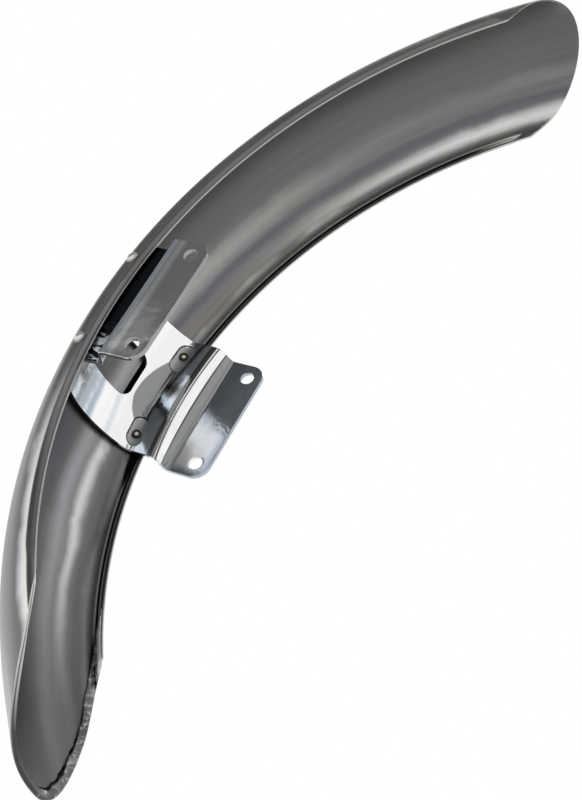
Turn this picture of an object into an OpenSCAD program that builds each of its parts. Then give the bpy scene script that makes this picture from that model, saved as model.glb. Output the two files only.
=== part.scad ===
// Motorcycle front mudguard: a rolled and pressed steel shell, with a plated
// bracket riveted across its inside that carries two flanges for the fork.
//
// X runs along the bolt line towards the front tip, Y along the wheel axle,
// and Z away from the axle, out through the crown. The origin is the middle
// of the four fork bolts. Millimetres throughout.

/* [Wheel arch] */
// Radius of the side edges about the wheel axle
lip_r = 320; // [290:1:350]
// Height of the crown above the side edges
crown_h = 35; // [32:1:45]
// Width across the outer faces of the sides
side_w = 98.6; // [90:0.1:120]
// Radius of the shoulders where the crown turns into the sides
shoulder_r = 13; // [12:0.5:16]
// Half angle of the flatter arc over the crown
crown_a = 46; // [40:1:48]
// Thickness of the shell's sheet
shell_t = 1.2; // [0.8:0.1:1.5]
// Outer radius of the half-round bead along each side edge
bead_r = 2.7; // [2.2:0.1:2.8]
// Height of the plain lip under the bead
lip_h = 0.6; // [0.4:0.1:0.8]

/* [Ends] */
// Angle about the axle from the bracket to the crown's front tip
front_tip_a = 62; // [50:1:75]
// Angle by which the front cut's lower corners stay behind the tip
front_rake_a = 7.8; // [4:0.2:12]
// Angle about the axle from the bracket to the crown's rear tip
rear_tip_a = 50.8; // [40:0.2:70]
// Angle by which the rear cut's lower corners stay behind the tip
rear_rake_a = 16.6; // [10:0.2:20]
// Radius of the front cut's lower corners
front_corner_r = 6; // [3:1:16]
// Radius of the rear cut's lower corners
rear_corner_r = 4; // [3:1:14]
// Width of the hem folded inwards round the rear end, square to the cut in side view
hem_w = 2; // [1.8:0.1:5]
// Gap between the hem and the shell
hem_gap = 0.3; // [0.2:0.1:0.6]

/* [Bracket] */
// Distance between the two bolt holes of a flange
bolt_pitch = 68; // [56:1:76]
// Diameter of the bolt holes
bolt_d = 8.5; // [6.5:0.1:9]
// Margin of metal from a bolt's centre to the flange's edges
bolt_margin = 10; // [8:0.5:12]
// Width across the outer faces of the two flanges
fork_w = 116; // [112:1:128]
// Height from the bolt line to the top of the flat flange
flange_h = 14.5; // [12:0.1:15]
// Thickness of the bracket's plate
plate_t = 2.5; // [2:0.1:3]
// Mean radius of the two bends of each joggle
joggle_r = 4; // [3:0.1:4.2]
// Drop from the side edges to the first bend of the joggle
joggle_drop = 7; // [5:0.5:9]
// Gap between the bracket's plate and the shell
stand_off = 1.6; // [1:0.1:2.2]
// Height of the side edges' circle above the bolt line
edge_rise = 34.7; // [33:0.1:37]
// Distance that the axle lies in front of the bolts' middle
axle_x = 6.8; // [0:0.1:10]
// Length of the window in the crown, along the mudguard
window_l = 32; // [20:1:40]
// Width of the window across the crown
window_w = 66; // [50:1:72]
// Radius of the window's corners
window_r = 7; // [4:0.5:10]

/* [Rivets] */
// Distance between the two rivets of a side
rivet_pitch = 63; // [52:1:68]
// Height of the rivets above the side edges
rivet_h = 10.3; // [10.2:0.1:12]
// Diameter of a rivet's shank
shank_d = 4.8; // [4:0.1:5]
// Diameter of a rivet's round head
head_d = 8.4; // [7.5:0.1:8.6]
// Height of a rivet's round head
head_h = 1.9; // [1.5:0.1:2.2]
// Diameter of a rivet's set tail
tail_d = 6.6; // [6:0.1:7.4]
// Height of a rivet's set tail
tail_h = 1.7; // [1.2:0.1:2]
// Diameter of the hollow in the tail
hollow_d = 3.4; // [2.6:0.1:3.8]
// Diameter of the broken pin left in the hollow
pin_d = 2; // [1.4:0.1:2.4]
// Depth of the pin's end below the tail's rim
pin_drop = 0.5; // [0.2:0.1:1]
// Length of an oval pad
pad_l = 20; // [16:0.5:24]
// Width of an oval pad
pad_w = 12; // [10:0.5:13]
// Distance that a pad's middle lies inwards of its rivet
pad_shift = 2; // [0:0.5:3]
// Gap between a pad and the shell
pad_gap = 0.1; // [0.1:0.1:0.3]

/* [Hidden] */
$fn = 240;

half_w = side_w / 2;
crown_r = lip_r + crown_h;
bolt_line_r = lip_r - edge_rise;
// The crown arc meets each shoulder arc at crown_a with a common tangent.
crown_arc_r = (half_w - shoulder_r * (1 - sin(crown_a))) / sin(crown_a);
crown_c = crown_r - crown_arc_r;
arc_gap = crown_arc_r - shoulder_r;
shoulder_y = arc_gap * sin(crown_a);
shoulder_c = crown_c + arc_gap * cos(crown_a);

// Depth of the bracket's outer face, and of the pads' outer face, below the shell's outer face
plate_in = shell_t + stand_off;
pad_in = shell_t + pad_gap;

axle = [axle_x, -bolt_line_r];
saddle_l = bolt_pitch + 2 * bolt_margin;
rivet_r = lip_r + rivet_h;
joggle_top_r = lip_r - joggle_drop;
bead_c = lip_r + lip_h + bead_r;
wide = 2 * fork_w;
over = 1;
// Length of a cut that passes both sheets, and how far the shank bites into a tail
through = 4 * (plate_in + plate_t);
bite = 0.25;
// How far the end cuts' lines are drawn past the crown, and under the side edges
cut_reach = crown_r / 2;
cut_foot = 15;
// Angle that the turned sheets run past each tip
spare_a = 4;

crown_steps = 18;
shoulder_steps = 6;
bead_steps = 8;

front_lip_a = front_tip_a - front_rake_a;
rear_lip_a = rear_tip_a - rear_rake_a;

function at_angle(r, a) = axle + r * [sin(a), cos(a)];
function unit(v) = v / norm(v);
function quarter(v) = [-v[1], v[0]];

// One end cut: [corner on the side edge, direction up the cut, normal into the metal]
function cut_line(lip_a, tip_a, turn) =
    let (p = at_angle(lip_r, lip_a), u = unit(at_angle(crown_r, tip_a) - p))
    [p, u, turn * quarter(u)];

front_cut = cut_line(front_lip_a, front_tip_a, 1);
rear_cut = cut_line(-rear_lip_a, -rear_tip_a, -1);

// Distance up the cut at which a corner of radius q leaves it
function corner_run(cut, q) =
    let (w = cut[0] - axle, wu = w * cut[1], wn = w * cut[2])
    -wu + sqrt(wu * wu - 2 * q * (wn - lip_r));

function beyond(cut, run, side) = cut[0] + run * cut[1] + side * cut[2];

function reversed(v) = [for (i = [len(v) - 1 : -1 : 0]) v[i]];
function arc_points(c, r, a0, a1, steps, skip = 0) =
    [for (k = [skip : steps - skip]) let (a = a0 + (a1 - a0) * k / steps) c + r * [cos(a), sin(a)]];

// The arch's line at a depth below its outer face, from one side to the other, r along x
function arch_line(inset) =
    concat(
        arc_points([shoulder_c, -shoulder_y], shoulder_r - inset, -90, -crown_a, shoulder_steps),
        arc_points([crown_c, 0], crown_arc_r - inset, -crown_a, crown_a, crown_steps, 1),
        arc_points([shoulder_c, shoulder_y], shoulder_r - inset, crown_a, 90, shoulder_steps)
    );

// The same line with its beads and lips; r is the bead's radius at that depth
function shell_line(inset, r) =
    let (side = half_w - inset, bead_y = half_w - shell_t / 2, a = asin((shell_t / 2 - inset) / r))
    concat(
        [[lip_r, -side]],
        arc_points([bead_c, -bead_y], r, a - 180, -a, bead_steps),
        arch_line(inset),
        arc_points([bead_c, bead_y], r, a, 180 - a, bead_steps),
        [[lip_r, side]]
    );

// A sheet that follows the arch between two depths below its outer face, down to floor_r
module arch_section(from_in, to_in, floor_r) {
    polygon(concat(
        [[floor_r, from_in - half_w]], arch_line(from_in), [[floor_r, half_w - from_in]],
        [[floor_r, half_w - to_in]], reversed(arch_line(to_in)), [[floor_r, to_in - half_w]]
    ));
}

// The shell's own section, with its beads
module shell_section() {
    polygon(concat(shell_line(0, bead_r), reversed(shell_line(shell_t, bead_r - shell_t))));
}

// Turns a section about the axle over the whole mudguard, with r along x and y along y
module swept() {
    start_a = 90 - front_tip_a - spare_a;
    sweep_a = front_tip_a + rear_tip_a + 2 * spare_a;
    translate([axle[0], 0, axle[1]])
        rotate([90, 0, 0])
            rotate([0, 0, start_a])
                rotate_extrude(angle = sweep_a) children();
}

module arch_sheet(from_in, to_in, floor_r) {
    swept() arch_section(from_in, to_in, floor_r);
}

// Draws a side view, x and z, and gives it the width w about the middle
module across(w) {
    translate([0, w / 2, 0]) rotate([90, 0, 0]) linear_extrude(height = w) children();
}

// What a rounded corner of an end cut takes away
module corner_waste(cut, q) {
    run = corner_run(cut, q);
    c = beyond(cut, run, q);
    foot = axle + (lip_r - over) * unit(c - axle);
    difference() {
        polygon([c, beyond(cut, run, -over), beyond(cut, -q, -over), beyond(cut, -q, q / 2), foot]);
        translate(c) circle(r = q);
    }
}

// The mudguard's side outline: two slanted end cuts with rounded lower corners
module side_outline() {
    front_top = beyond(front_cut, cut_reach, 0);
    rear_top = beyond(rear_cut, cut_reach, 0);
    top = crown_r;
    difference() {
        polygon([
            beyond(front_cut, -cut_foot, 0), front_top, [front_top[0], top],
            [rear_top[0], top], rear_top, beyond(rear_cut, -cut_foot, 0)
        ]);
        corner_waste(front_cut, front_corner_r);
        corner_waste(rear_cut, rear_corner_r);
    }
}

// A strip of the side outline along the rear cut, of the given width
module rear_strip(w) {
    start = corner_run(rear_cut, rear_corner_r);
    intersection() {
        side_outline();
        polygon([
            beyond(rear_cut, start, -over), beyond(rear_cut, cut_reach, -over),
            beyond(rear_cut, cut_reach, w), beyond(rear_cut, start, w)
        ]);
    }
}

// The hem: a fold along the rear cut and a second layer under the shell
module rear_hem() {
    layer_in = shell_t + hem_gap;
    intersection() {
        arch_sheet(layer_in, layer_in + shell_t, lip_r);
        across(wide) rear_strip(hem_w);
    }
    intersection() {
        arch_sheet(0, layer_in + shell_t, lip_r);
        across(wide) rear_strip(shell_t);
    }
}

// Puts its children at each rivet, z pointing outwards from the shell's outer face,
// moved inwards along the mudguard by shift
module at_rivets(shift = 0) {
    tilt_a = asin((rivet_r - shoulder_c) / shoulder_r);
    face_y = shoulder_y + shoulder_r * cos(tilt_a);
    for (i = [-1, 1], s = [-1, 1]) {
        turn_a = asin((i * rivet_pitch / 2 - axle_x) / rivet_r);
        translate([axle[0], 0, axle[1]])
            rotate([0, turn_a, 0])
                translate([-i * shift, s * face_y, rivet_r])
                    rotate([-s * (90 - tilt_a), 0, 0])
                        children();
    }
}

// A pad's oval, grown by grow all round
module oval(grow) {
    run = (pad_l - pad_w) / 2;
    r = pad_w / 2 + grow;
    for (s = [-1, 1]) translate([s * run, 0]) circle(r = r);
    square([2 * run, 2 * r], center = true);
}

// One flange's side view, with round corners about the bolts
module flange_outline() {
    half = bolt_pitch / 2;
    for (s = [-1, 1]) translate([s * half, 0]) circle(r = bolt_margin);
    translate([-half, -bolt_margin]) square([2 * half, bolt_margin + flange_h]);
    translate([-half - bolt_margin, 0]) square([saddle_l, flange_h]);
}

// The bolts' side view
module bolt_circles() {
    for (s = [-1, 1]) translate([s * bolt_pitch / 2, 0]) circle(d = bolt_d);
}

// The window's plan, with round corners
module window_plan() {
    for (i = [-1, 1], j = [-1, 1])
        translate([i * (window_l / 2 - window_r), j * (window_w / 2 - window_r)]) circle(r = window_r);
    square([window_l - 2 * window_r, window_w], center = true);
    square([window_l, window_w - 2 * window_r], center = true);
}

// Places where a joggle starts and ends: the mean lines of the side wall and of the flange
wall_y = half_w - plate_in - plate_t / 2;
flange_y = fork_w / 2 - plate_t / 2;

// The height of the first bend's start, which follows an arc about the axle
function bend_z(x) = sqrt(pow(joggle_top_r, 2) - pow(x - axle_x, 2)) - bolt_line_r;

// The two bends of a joggle as [turn of each bend, length of the straight between]
function joggle(drop) =
    let (step = flange_y - wall_y - 2 * joggle_r, run2 = drop * drop + step * step - pow(2 * joggle_r, 2))
    let (run = sqrt(run2))
    [atan2(step, drop) + atan2(2 * joggle_r, run), run];

bend_steps = 6;

// Points of the joggle's section at x, on the mean line moved outwards by side
function joggle_points(x, side) =
    let (top = bend_z(x), j = joggle(top - flange_h), turn = j[0])
    [
        [wall_y + side, top + over],
        for (k = [0 : bend_steps])
            let (a = turn * k / bend_steps)
            [wall_y + joggle_r - (joggle_r - side) * cos(a), top - (joggle_r - side) * sin(a)],
        for (k = [0 : bend_steps])
            let (a = turn * (1 - k / bend_steps))
            [flange_y - joggle_r + (joggle_r + side) * cos(a), flange_h + (joggle_r + side) * sin(a)],
        [flange_y + side, flange_h - over]
    ];

joggle_rows = 10;
// How far the arch is drawn past the first bends before it is cut along them
bend_spare = 3;

// One joggle: a ruled sheet from the curved first bend to the straight flange
module joggle_sheet() {
    n = 2 * (bend_steps + 1) + 2;
    ring = 2 * n;
    pts = [
        for (k = [0 : joggle_rows])
            let (x = saddle_l * (k / joggle_rows - 0.5))
            each concat(
                [for (p = joggle_points(x, plate_t / 2)) [x, p[0], p[1]]],
                [for (i = [n - 1 : -1 : 0]) let (p = joggle_points(x, -plate_t / 2)[i]) [x, p[0], p[1]]]
            )
    ];
    sides = [
        for (k = [0 : joggle_rows - 1], i = [0 : ring - 1])
            let (a = k * ring + i, b = k * ring + (i + 1) % ring)
            each [[a, b, b + ring], [a, b + ring, a + ring]]
    ];
    last = joggle_rows * ring;
    caps = [
        for (i = [0 : n - 2])
            let (m = ring - 1 - i)
            each [
                [i, m, m - 1], [i, m - 1, i + 1],
                [last + i, last + m - 1, last + m], [last + i, last + i + 1, last + m - 1]
            ]
    ];
    polyhedron(points = pts, faces = concat(sides, caps), convexity = 6);
}

// The saddle across the inside of the arch, down to the first bends
module saddle_arch() {
    half = saddle_l / 2;
    bend_side = [
        for (k = [0 : joggle_rows])
            let (x = half - saddle_l * k / joggle_rows)
            [x, bend_z(x)]
    ];
    intersection() {
        arch_sheet(plate_in, plate_in + plate_t, joggle_top_r - bend_spare);
        across(wide) polygon(concat([[-half, crown_r], [half, crown_r]], bend_side));
    }
}

// Prisms of the pads' ovals, grown by grow all round, through both sheets
module pad_prisms(grow) {
    at_rivets(pad_shift) translate([0, 0, -through / 2])
        linear_extrude(height = through / 2 + over) oval(grow);
}

// The hollows that the pads leave in the bracket's inner face
module pad_hollows() {
    intersection() {
        arch_sheet(pad_in + plate_t, plate_in + plate_t + over, lip_r - over);
        pad_prisms(0);
    }
}

// The oval pads, pressed out to the shell
module pads() {
    intersection() {
        arch_sheet(pad_in, plate_in + plate_t / 2, lip_r - over);
        pad_prisms(plate_t / 2);
    }
}

module rivet_holes() {
    at_rivets() cylinder(h = through, d = shank_d, center = true);
}

module shell() {
    color("slategray") difference() {
        union() {
            intersection() {
                swept() shell_section();
                across(wide) side_outline();
            }
            rear_hem();
        }
        rivet_holes();
    }
}

module saddle_bracket() {
    color("lightsteelblue") difference() {
        union() {
            saddle_arch();
            pads();
            for (s = [0, 1]) mirror([0, s, 0]) {
                joggle_sheet();
                translate([0, fork_w / 2, 0]) rotate([90, 0, 0])
                    linear_extrude(height = plate_t) flange_outline();
            }
        }
        pad_hollows();
        across(wide) bolt_circles();
        translate([0, 0, lip_r - bolt_line_r]) linear_extrude(height = crown_h) window_plan();
        rivet_holes();
    }
}

// The low dome of a rivet's head, seated on the shell's curved face
module rivet_heads() {
    dome_r = (pow(head_d / 2, 2) + pow(head_h, 2)) / (2 * head_h);
    difference() {
        at_rivets() {
            intersection() {
                translate([0, 0, head_h - dome_r]) sphere(r = dome_r);
                cylinder(h = head_h + over, d = head_d);
            }
            translate([0, 0, -over]) cylinder(h = over, d = head_d);
        }
        arch_sheet(0, 2 * over, lip_r);
    }
}

// The set tails: a rolled ring about a hollow, with the broken pin's end inside
module rivet_tails() {
    stack = pad_in + plate_t;
    difference() {
        at_rivets() translate([0, 0, -stack - tail_h]) {
            difference() {
                cylinder(h = tail_h + over, d = tail_d);
                translate([0, 0, -over]) cylinder(h = tail_h + over, d = hollow_d);
            }
            translate([0, 0, pin_drop]) cylinder(h = tail_h, d = pin_d);
        }
        arch_sheet(stack - 2 * over, stack, lip_r);
    }
}

module rivets() {
    stack = pad_in + plate_t;
    color("silver") {
        rivet_heads();
        rivet_tails();
        at_rivets() translate([0, 0, -stack - bite]) cylinder(h = stack + head_h / 2, d = shank_d);
    }
}

shell();
saddle_bracket();
rivets();
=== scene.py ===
"""The looks of a bare steel motorcycle front mudguard with its fork bracket.

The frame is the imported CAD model: +X along the bolt line towards the front tip,
+Y along the wheel's axle, +Z out through the crown, origin in the middle of the
four fork bolts. Everything is in metres. Each sheet is a grid that formulas bend
into shape, with a real thickness and rounded edges.

The materials read these marks, one number per point:
across  length over the section from the crown, positive on the far side
along   length along the sheet from the axle's place; on the bracket, X
inner   0 on the outer face and 1 on the inner one
hem     1 on the folded hem of the shell
end     distance from the shell's rear cut
press   how far a pad of the bracket is pressed out, from 0 to 1
part    a rivet's head, 0, rolled tail, 1, floor of the hollow, 1.4, or pin, 2
radius  distance from a rivet's axis
"""

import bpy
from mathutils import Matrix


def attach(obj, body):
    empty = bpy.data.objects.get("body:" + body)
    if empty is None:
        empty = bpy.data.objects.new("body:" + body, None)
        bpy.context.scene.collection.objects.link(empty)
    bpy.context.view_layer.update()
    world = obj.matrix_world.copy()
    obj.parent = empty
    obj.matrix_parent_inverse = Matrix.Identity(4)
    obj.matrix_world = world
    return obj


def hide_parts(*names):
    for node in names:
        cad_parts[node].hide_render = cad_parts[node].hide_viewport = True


bl_info = {
    "name": "Motorcycle front mudguard",
    "version": (1, 0, 0),
    "blender": (4, 5, 0),
    "location": "View3D > Sidebar > Mudguard",
    "description": "Builds a bare steel front mudguard, its fork bracket and rivets",
    "category": "Object",
}

import bpy
import numpy as np
from bpy.props import FloatProperty, FloatVectorProperty, IntProperty, PointerProperty
from mathutils import Matrix

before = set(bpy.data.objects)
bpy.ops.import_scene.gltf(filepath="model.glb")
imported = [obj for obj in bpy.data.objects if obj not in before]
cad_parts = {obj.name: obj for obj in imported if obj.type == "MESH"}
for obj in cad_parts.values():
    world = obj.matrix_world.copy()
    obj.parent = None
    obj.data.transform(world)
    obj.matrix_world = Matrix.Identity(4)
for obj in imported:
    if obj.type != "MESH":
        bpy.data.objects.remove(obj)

MM = 0.001
TINY = 1e-9
BODY = "root"
CORNERS = ((-1, -1), (-1, 1), (1, -1), (1, 1))

# The shell's grid and edges
LIP_ROUND = 0.45 * MM  # length over which a lip's edge is drawn in
LIP_THIN = 0.45  # share of its thickness that a lip's edge loses
CUT_ROUND = 0.25 * MM  # rounding of the two cut ends
MID_DEPTH = 0.98  # a rounded edge's last station, just short of the sheet's middle
ROW_EASE = 0.02  # how far rows are drawn towards the two ends, as a share of the length
BEAD_START = 2.0 * MM  # plain length between a cut's corner and the bead
REAR_FADE = 1.6  # how much longer the bead's rear run-out is than its front one
HEM_THIN = 0.6  # share of its thickness that the hem keeps at its free edge
END_REACH = 50 * MM  # the mark of the distance from the rear cut stops growing here

# The bracket's grid
JOGGLE_RUN = 16.2 * MM  # length over the section that the joggle takes
BEND_SHARE = 0.24  # share of the joggle's run in each of its two bends
WINDOW_RING = (6 * MM, 7 * MM)  # width of the zone of rings round the window, in X and over it
PAD_ZONE = 15 * MM  # beyond this along X the grid is fine, for the pads
BEND_ZONE = 4 * MM  # below this height over the first bend the grid is less fine
COARSE, MIDDLING, FINE = 1.1 * MM, 0.9 * MM, 0.5 * MM
WINDOW_STEPS, BOLT_STEPS = 5, 6  # rings of quads round the window and round a bolt hole

RIM_UNEVEN = 0.02  # how far a rivet's rolled rim departs from round


# ---------------------------------------------------------------- properties


def length(name, description, default):
    """A length property in metres."""
    return FloatProperty(
        name=name, description=description, default=default, min=0.0, unit="LENGTH", precision=4
    )


def angle(name, description, default):
    """An angle property, given in degrees and kept in radians."""
    return FloatProperty(
        name=name, description=description, default=np.radians(default), subtype="ANGLE"
    )


def share(name, description, default):
    """A plain factor between 0 and 1."""
    return FloatProperty(
        name=name, description=description, default=default, min=0.0, max=1.0, subtype="FACTOR"
    )


def colour(name, description, default):
    """A linear colour property."""
    return vector(name, description, default, min=0.0, max=1.0, subtype="COLOR")


def vector(name, description, default, **settings):
    """A place or a direction."""
    return FloatVectorProperty(
        name=name, description=description, default=default, size=3, **settings
    )


def count(name, description, default):
    """A whole number of steps in a mesh."""
    return IntProperty(name=name, description=description, default=default, min=2, max=2000)


class MudguardArch(bpy.types.PropertyGroup):
    """Sizes of the sheet over the wheel."""

    axle_x: length("Axle along X", "How far the axle lies in front of the bolts' middle", 0.0068)
    bolt_line_r: length("Bolt line radius", "Distance from the axle to the bolt line", 0.2853)
    lip_r: length("Edge radius", "Radius of the side edges about the axle", 0.320)
    crown_h: length("Crown height", "Height of the crown above the side edges", 0.03499)
    half_w: length("Half width", "From the middle to the outer face of a side", 0.0493)
    shoulder_r: length("Shoulder radius", "Outer radius of the shoulders", 0.013)
    crown_a: angle("Crown half angle", "Half angle of the flatter arc over the crown", 46)
    sheet_t: length("Sheet thickness", "Thickness of the shell's sheet", 0.0012)
    bead_r: length("Bead radius", "Outer radius of the bead along each side edge", 0.0027)
    lip_h: length("Lip height", "Plain lip under the bead", 0.0006)
    fillet_r: length("Bead fillet", "Radius where the bead runs into the flat sheet", 0.0007)
    front_tip_a: angle("Front tip", "Angle about the axle to the crown's front tip", 61.85)
    front_rake_a: angle("Front rake", "Angle of the front cut's corners behind the tip", 7.6)
    rear_tip_a: angle("Rear tip", "Angle about the axle to the crown's rear tip", 50.6)
    rear_rake_a: angle("Rear rake", "Angle of the rear cut's corners behind the tip", 16.4)
    front_corner_r: length("Front corner radius", "Radius of the front cut's corners", 0.003)
    rear_corner_r: length("Rear corner radius", "Radius of the rear cut's corners", 0.004)
    bead_fade: length("Bead run-out", "Length over which a bead flattens at its end", 0.010)
    front_bow: length("Front bow", "How far the front cut bows forwards", 0.0012)
    rear_skew: length("Rear skew", "How far the rear cut leans to one side", 0.0018)
    flare_side: length("Side flare", "How far one side of the rear end springs out", 0.0034)
    flare_tip: length("Tip flare", "How far the rear tip springs out", 0.0010)
    flare_run: length("Flare run", "Length over which the rear flare fades", 0.030)
    hem_w: length("Hem width", "Width of the hem folded inwards round the rear end", 0.0044)
    hem_gap: length("Hem gap", "Gap between the hem and the shell", 0.0003)
    hem_wave: length("Hem wrinkles", "Depth of the wrinkles in the hem", 0.0006)
    rows: count("Rows along", "Steps of the grid along the mudguard", 300)


class MudguardBracket(bpy.types.PropertyGroup):
    """Sizes of the plated bracket."""

    plate_t: length("Plate thickness", "Thickness of the bracket's plate", 0.0025)
    plate_in: length("Depth of the plate", "Outer face of the plate below the shell's", 0.0028)
    pad_in: length("Depth of the pads", "Outer face of the pads below the shell's", 0.0013)
    half_l: length("Half length", "Half the bracket's length along the mudguard", 0.044)
    half_pitch: length("Half bolt pitch", "From the middle to a bolt along X", 0.034)
    bolt_r: length("Bolt hole radius", "Radius of the bolt holes", 0.00425)
    margin: length("Bolt margin", "From a bolt's centre to the flange's edges", 0.010)
    half_fork_w: length("Half fork width", "From the middle to a flange's outer face", 0.058)
    flange_h: length("Flange height", "From the bolt line to the top of the flange", 0.0145)
    joggle_r: length("Joggle radius", "Mean radius of the joggle's two bends", 0.004)
    joggle_top_r: length("First bend radius", "Radius about the axle of the first bend", 0.313)
    half_window_l: length("Half window length", "Half the window's length along X", 0.016)
    half_window_w: length("Half window width", "Half the window's width along Y", 0.033)
    window_r: length("Window corner radius", "Radius of the window's corners", 0.007)
    pad_l: length("Pad length", "Length of an oval pad", 0.020)
    pad_w: length("Pad width", "Width of an oval pad", 0.0105)
    pad_shift: length("Pad shift", "A pad's middle lies inwards of its rivet by this", 0.002)
    pad_wall: length("Pad wall", "Width of the slope round a pad", 0.0013)
    edge_r: length("Edge radius", "Radius of the plate's sheared edges", 0.00035)


class MudguardRivets(bpy.types.PropertyGroup):
    """Sizes of the four rivets."""

    half_pitch: length("Half rivet pitch", "From the middle to a rivet along X", 0.0315)
    rise: length("Rivet height", "Height of the rivets above the side edges", 0.0103)
    head_r: length("Head radius", "Radius of the round head", 0.0042)
    head_h: length("Head height", "Height of the round head", 0.0019)
    tail_r: length("Tail radius", "Radius of the set tail", 0.0029)
    tail_h: length("Tail height", "Height of the set tail", 0.0017)
    hollow_r: length("Hollow radius", "Radius of the hollow in the tail", 0.0015)
    pin_r: length("Pin radius", "Radius of the broken pin in the hollow", 0.0014)
    pin_drop: length("Pin drop", "Depth of the pin's end below the tail's rim", 0.0005)
    sides: count("Sides", "Steps round a rivet", 48)


class MudguardFinish(bpy.types.PropertyGroup):
    """Colours and surface of the metals, with the colours of their painted highlights, reflections
    and shade.
    """

    steel: colour("Steel", "Bare rolled steel", (0.215, 0.207, 0.199))
    # Colour of painted shade on the steel and round the rivets' heads, and of dark marks on the
    # rivets
    steel_dark: colour("Dark steel", "Bare steel in the darker bands", (0.070, 0.069, 0.070))
    # Colour of painted highlights on the steel, and of its scratches
    steel_light: colour("Light steel", "Bare steel in painted highlights and scratches", (0.72, 0.715, 0.70))
    # Colour of the painted highlight on the near skirt
    steel_bright: colour("Bright steel", "Brightest strip of the near skirt", (0.96, 0.94, 0.90))
    # Colour of the painted shadow in the narrow gaps
    gap_shade_colour: colour("Gap shade", "Black in the narrow gaps", (0.006, 0.006, 0.007))
    heat: colour("Heat mark", "Brown stain of heat and oil", (0.19, 0.14, 0.09))
    zinc: colour("Plating", "Bright zinc plate", (0.97, 0.975, 0.98))
    # Colour of painted blue grey reflections on the plating
    zinc_blue: colour("Blue plating", "Blue grey painted reflections on the plating", (0.42, 0.49, 0.58))
    # Colour of painted grey reflections on the plating
    zinc_grey: colour("Grey plating", "Olive grey painted reflections on the plating", (0.128, 0.136, 0.132))
    zinc_pad: colour("Pad plating", "Tone of the pads' flat floors", (0.36, 0.37, 0.36))
    # Colour of painted shade and dark reflections on the plating
    zinc_dark: colour("Dark plating", "Darkest tone in the plating's folds", (0.008, 0.009, 0.011))
    nickel: colour("Rivet", "Rivet heads", (0.72, 0.70, 0.66))
    tail: colour("Rivet tail", "Dulled brown ring of a set tail", (0.050, 0.041, 0.033))
    pin: colour("Rivet pin", "Broken pin in a set tail", (0.92, 0.88, 0.78))
    grain: share("Grain", "Strength of the rolling grain", 0.5)


class MudguardStage(bpy.types.PropertyGroup):
    """Camera, lamps and floor."""

    eye: vector(
        "Camera place", "Where the camera stands", (-0.42543, -0.66960, -0.49949),
        subtype="TRANSLATION", unit="LENGTH",
    )
    right: vector(
        "Picture's right", "Direction to the right in the picture",
        (0.4486712, 0.2656338, -0.8533070), subtype="DIRECTION",
    )
    down: vector(
        "Picture's down", "Direction down the picture",
        (-0.7633019, 0.6105119, -0.2112944), subtype="DIRECTION",
    )
    lens: FloatProperty(
        name="Lens", description="Focal length in millimetres on a 36 mm frame",
        default=71.148, min=10.0,
    )
    floor_z: FloatProperty(
        name="Floor height", description="Height of the floor", default=-1.05, unit="LENGTH"
    )
    lamp: FloatProperty(
        name="Lamp power", description="Power of the main lamp in watts", default=8.0, min=0.0
    )
    fill: share("Fill light", "Level of the world's light on the surfaces", 0.80)
    card: share("Card tone", "Tone of the grey card that the near side reflects", 0.30)


# ------------------------------------------------------------------ formulas


def smooth(x, a, b):
    """0 below a, 1 above b, and a smooth step in between."""
    k = np.clip((np.asarray(x, float) - a) / (b - a), 0.0, 1.0)
    return k * k * (3 - 2 * k)


def ripple(x, seed, low=1.0, octaves=4):
    """A smooth seeded wave between about -1 and 1: cosines of random phase, each 1.73 times as
    quick as the one before and weaker in turn, over about the sum of their weights."""
    rng = np.random.default_rng(seed)
    total = np.zeros_like(np.asarray(x, float))
    for k in range(octaves):
        phase = rng.uniform(0, 6.283)
        total += np.cos(x * low * 1.73**k + phase) / (k + 1)
    return total / 2.1


def line(p, q, n):
    """n steps along a straight line from p to q: points, and normals to the right of travel."""
    p, q = np.array(p), np.array(q)
    d = (q - p) / np.linalg.norm(q - p)
    return p + np.linspace(0, 1, n + 1)[:, None] * (q - p), np.tile([d[1], -d[0]], (n + 1, 1))


def arc(c, r, a0, a1, n):
    """n steps along an arc about c from angle a0 to a1 in degrees: points, and right normals."""
    a = np.radians(np.linspace(a0, a1, n + 1))
    out = np.stack([np.cos(a), np.sin(a)], axis=1)
    return np.array(c) + r * out, out * np.sign(a1 - a0)


def joined(*parts):
    """Parts of a path in one, each joint's point kept once, with the length along the path."""
    pts, nrm = (
        np.concatenate([parts[0][i], *(part[i][1:] for part in parts[1:])]) for i in (0, 1)
    )
    run = np.concatenate([[0], np.cumsum(np.linalg.norm(np.diff(pts, axis=0), axis=1))])
    return pts, nrm, run


def arch_numbers(a):
    """Radius and centre of the crown's arc, and place and centre of the shoulder's: the two arcs
    meet with a common tangent."""
    s, c = np.sin(a.crown_a), np.cos(a.crown_a)
    crown_arc = (a.half_w - a.shoulder_r * (1 - s)) / s
    crown_c = a.lip_r + a.crown_h - crown_arc
    gap = crown_arc - a.shoulder_r
    return crown_arc, crown_c, gap * s, crown_c + gap * c


def rivet_lean(a, rv):
    """Angle about the shoulder's centre at which the rivets stand on the shell."""
    shoulder_c = arch_numbers(a)[3]
    return np.arcsin((a.lip_r + rv.rise - shoulder_c) / a.shoulder_r)


def at_angle(r, turn):
    """Point at radius r and angle turn about the axle, in X and Z from the axle."""
    return np.stack([r * np.sin(turn), r * np.cos(turn)], axis=-1)


def cut_of(a, end):
    """One end cut: corner on the side edge, direction up the cut, normal into the metal, turn."""
    tip = a.front_tip_a if end > 0 else a.rear_tip_a
    rake = a.front_rake_a if end > 0 else a.rear_rake_a
    p = at_angle(a.lip_r, end * (tip - rake))
    u = at_angle(a.lip_r + a.crown_h, end * tip) - p
    u = u / np.linalg.norm(u)
    return p, u, end * np.array([-u[1], u[0]]), end


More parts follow.
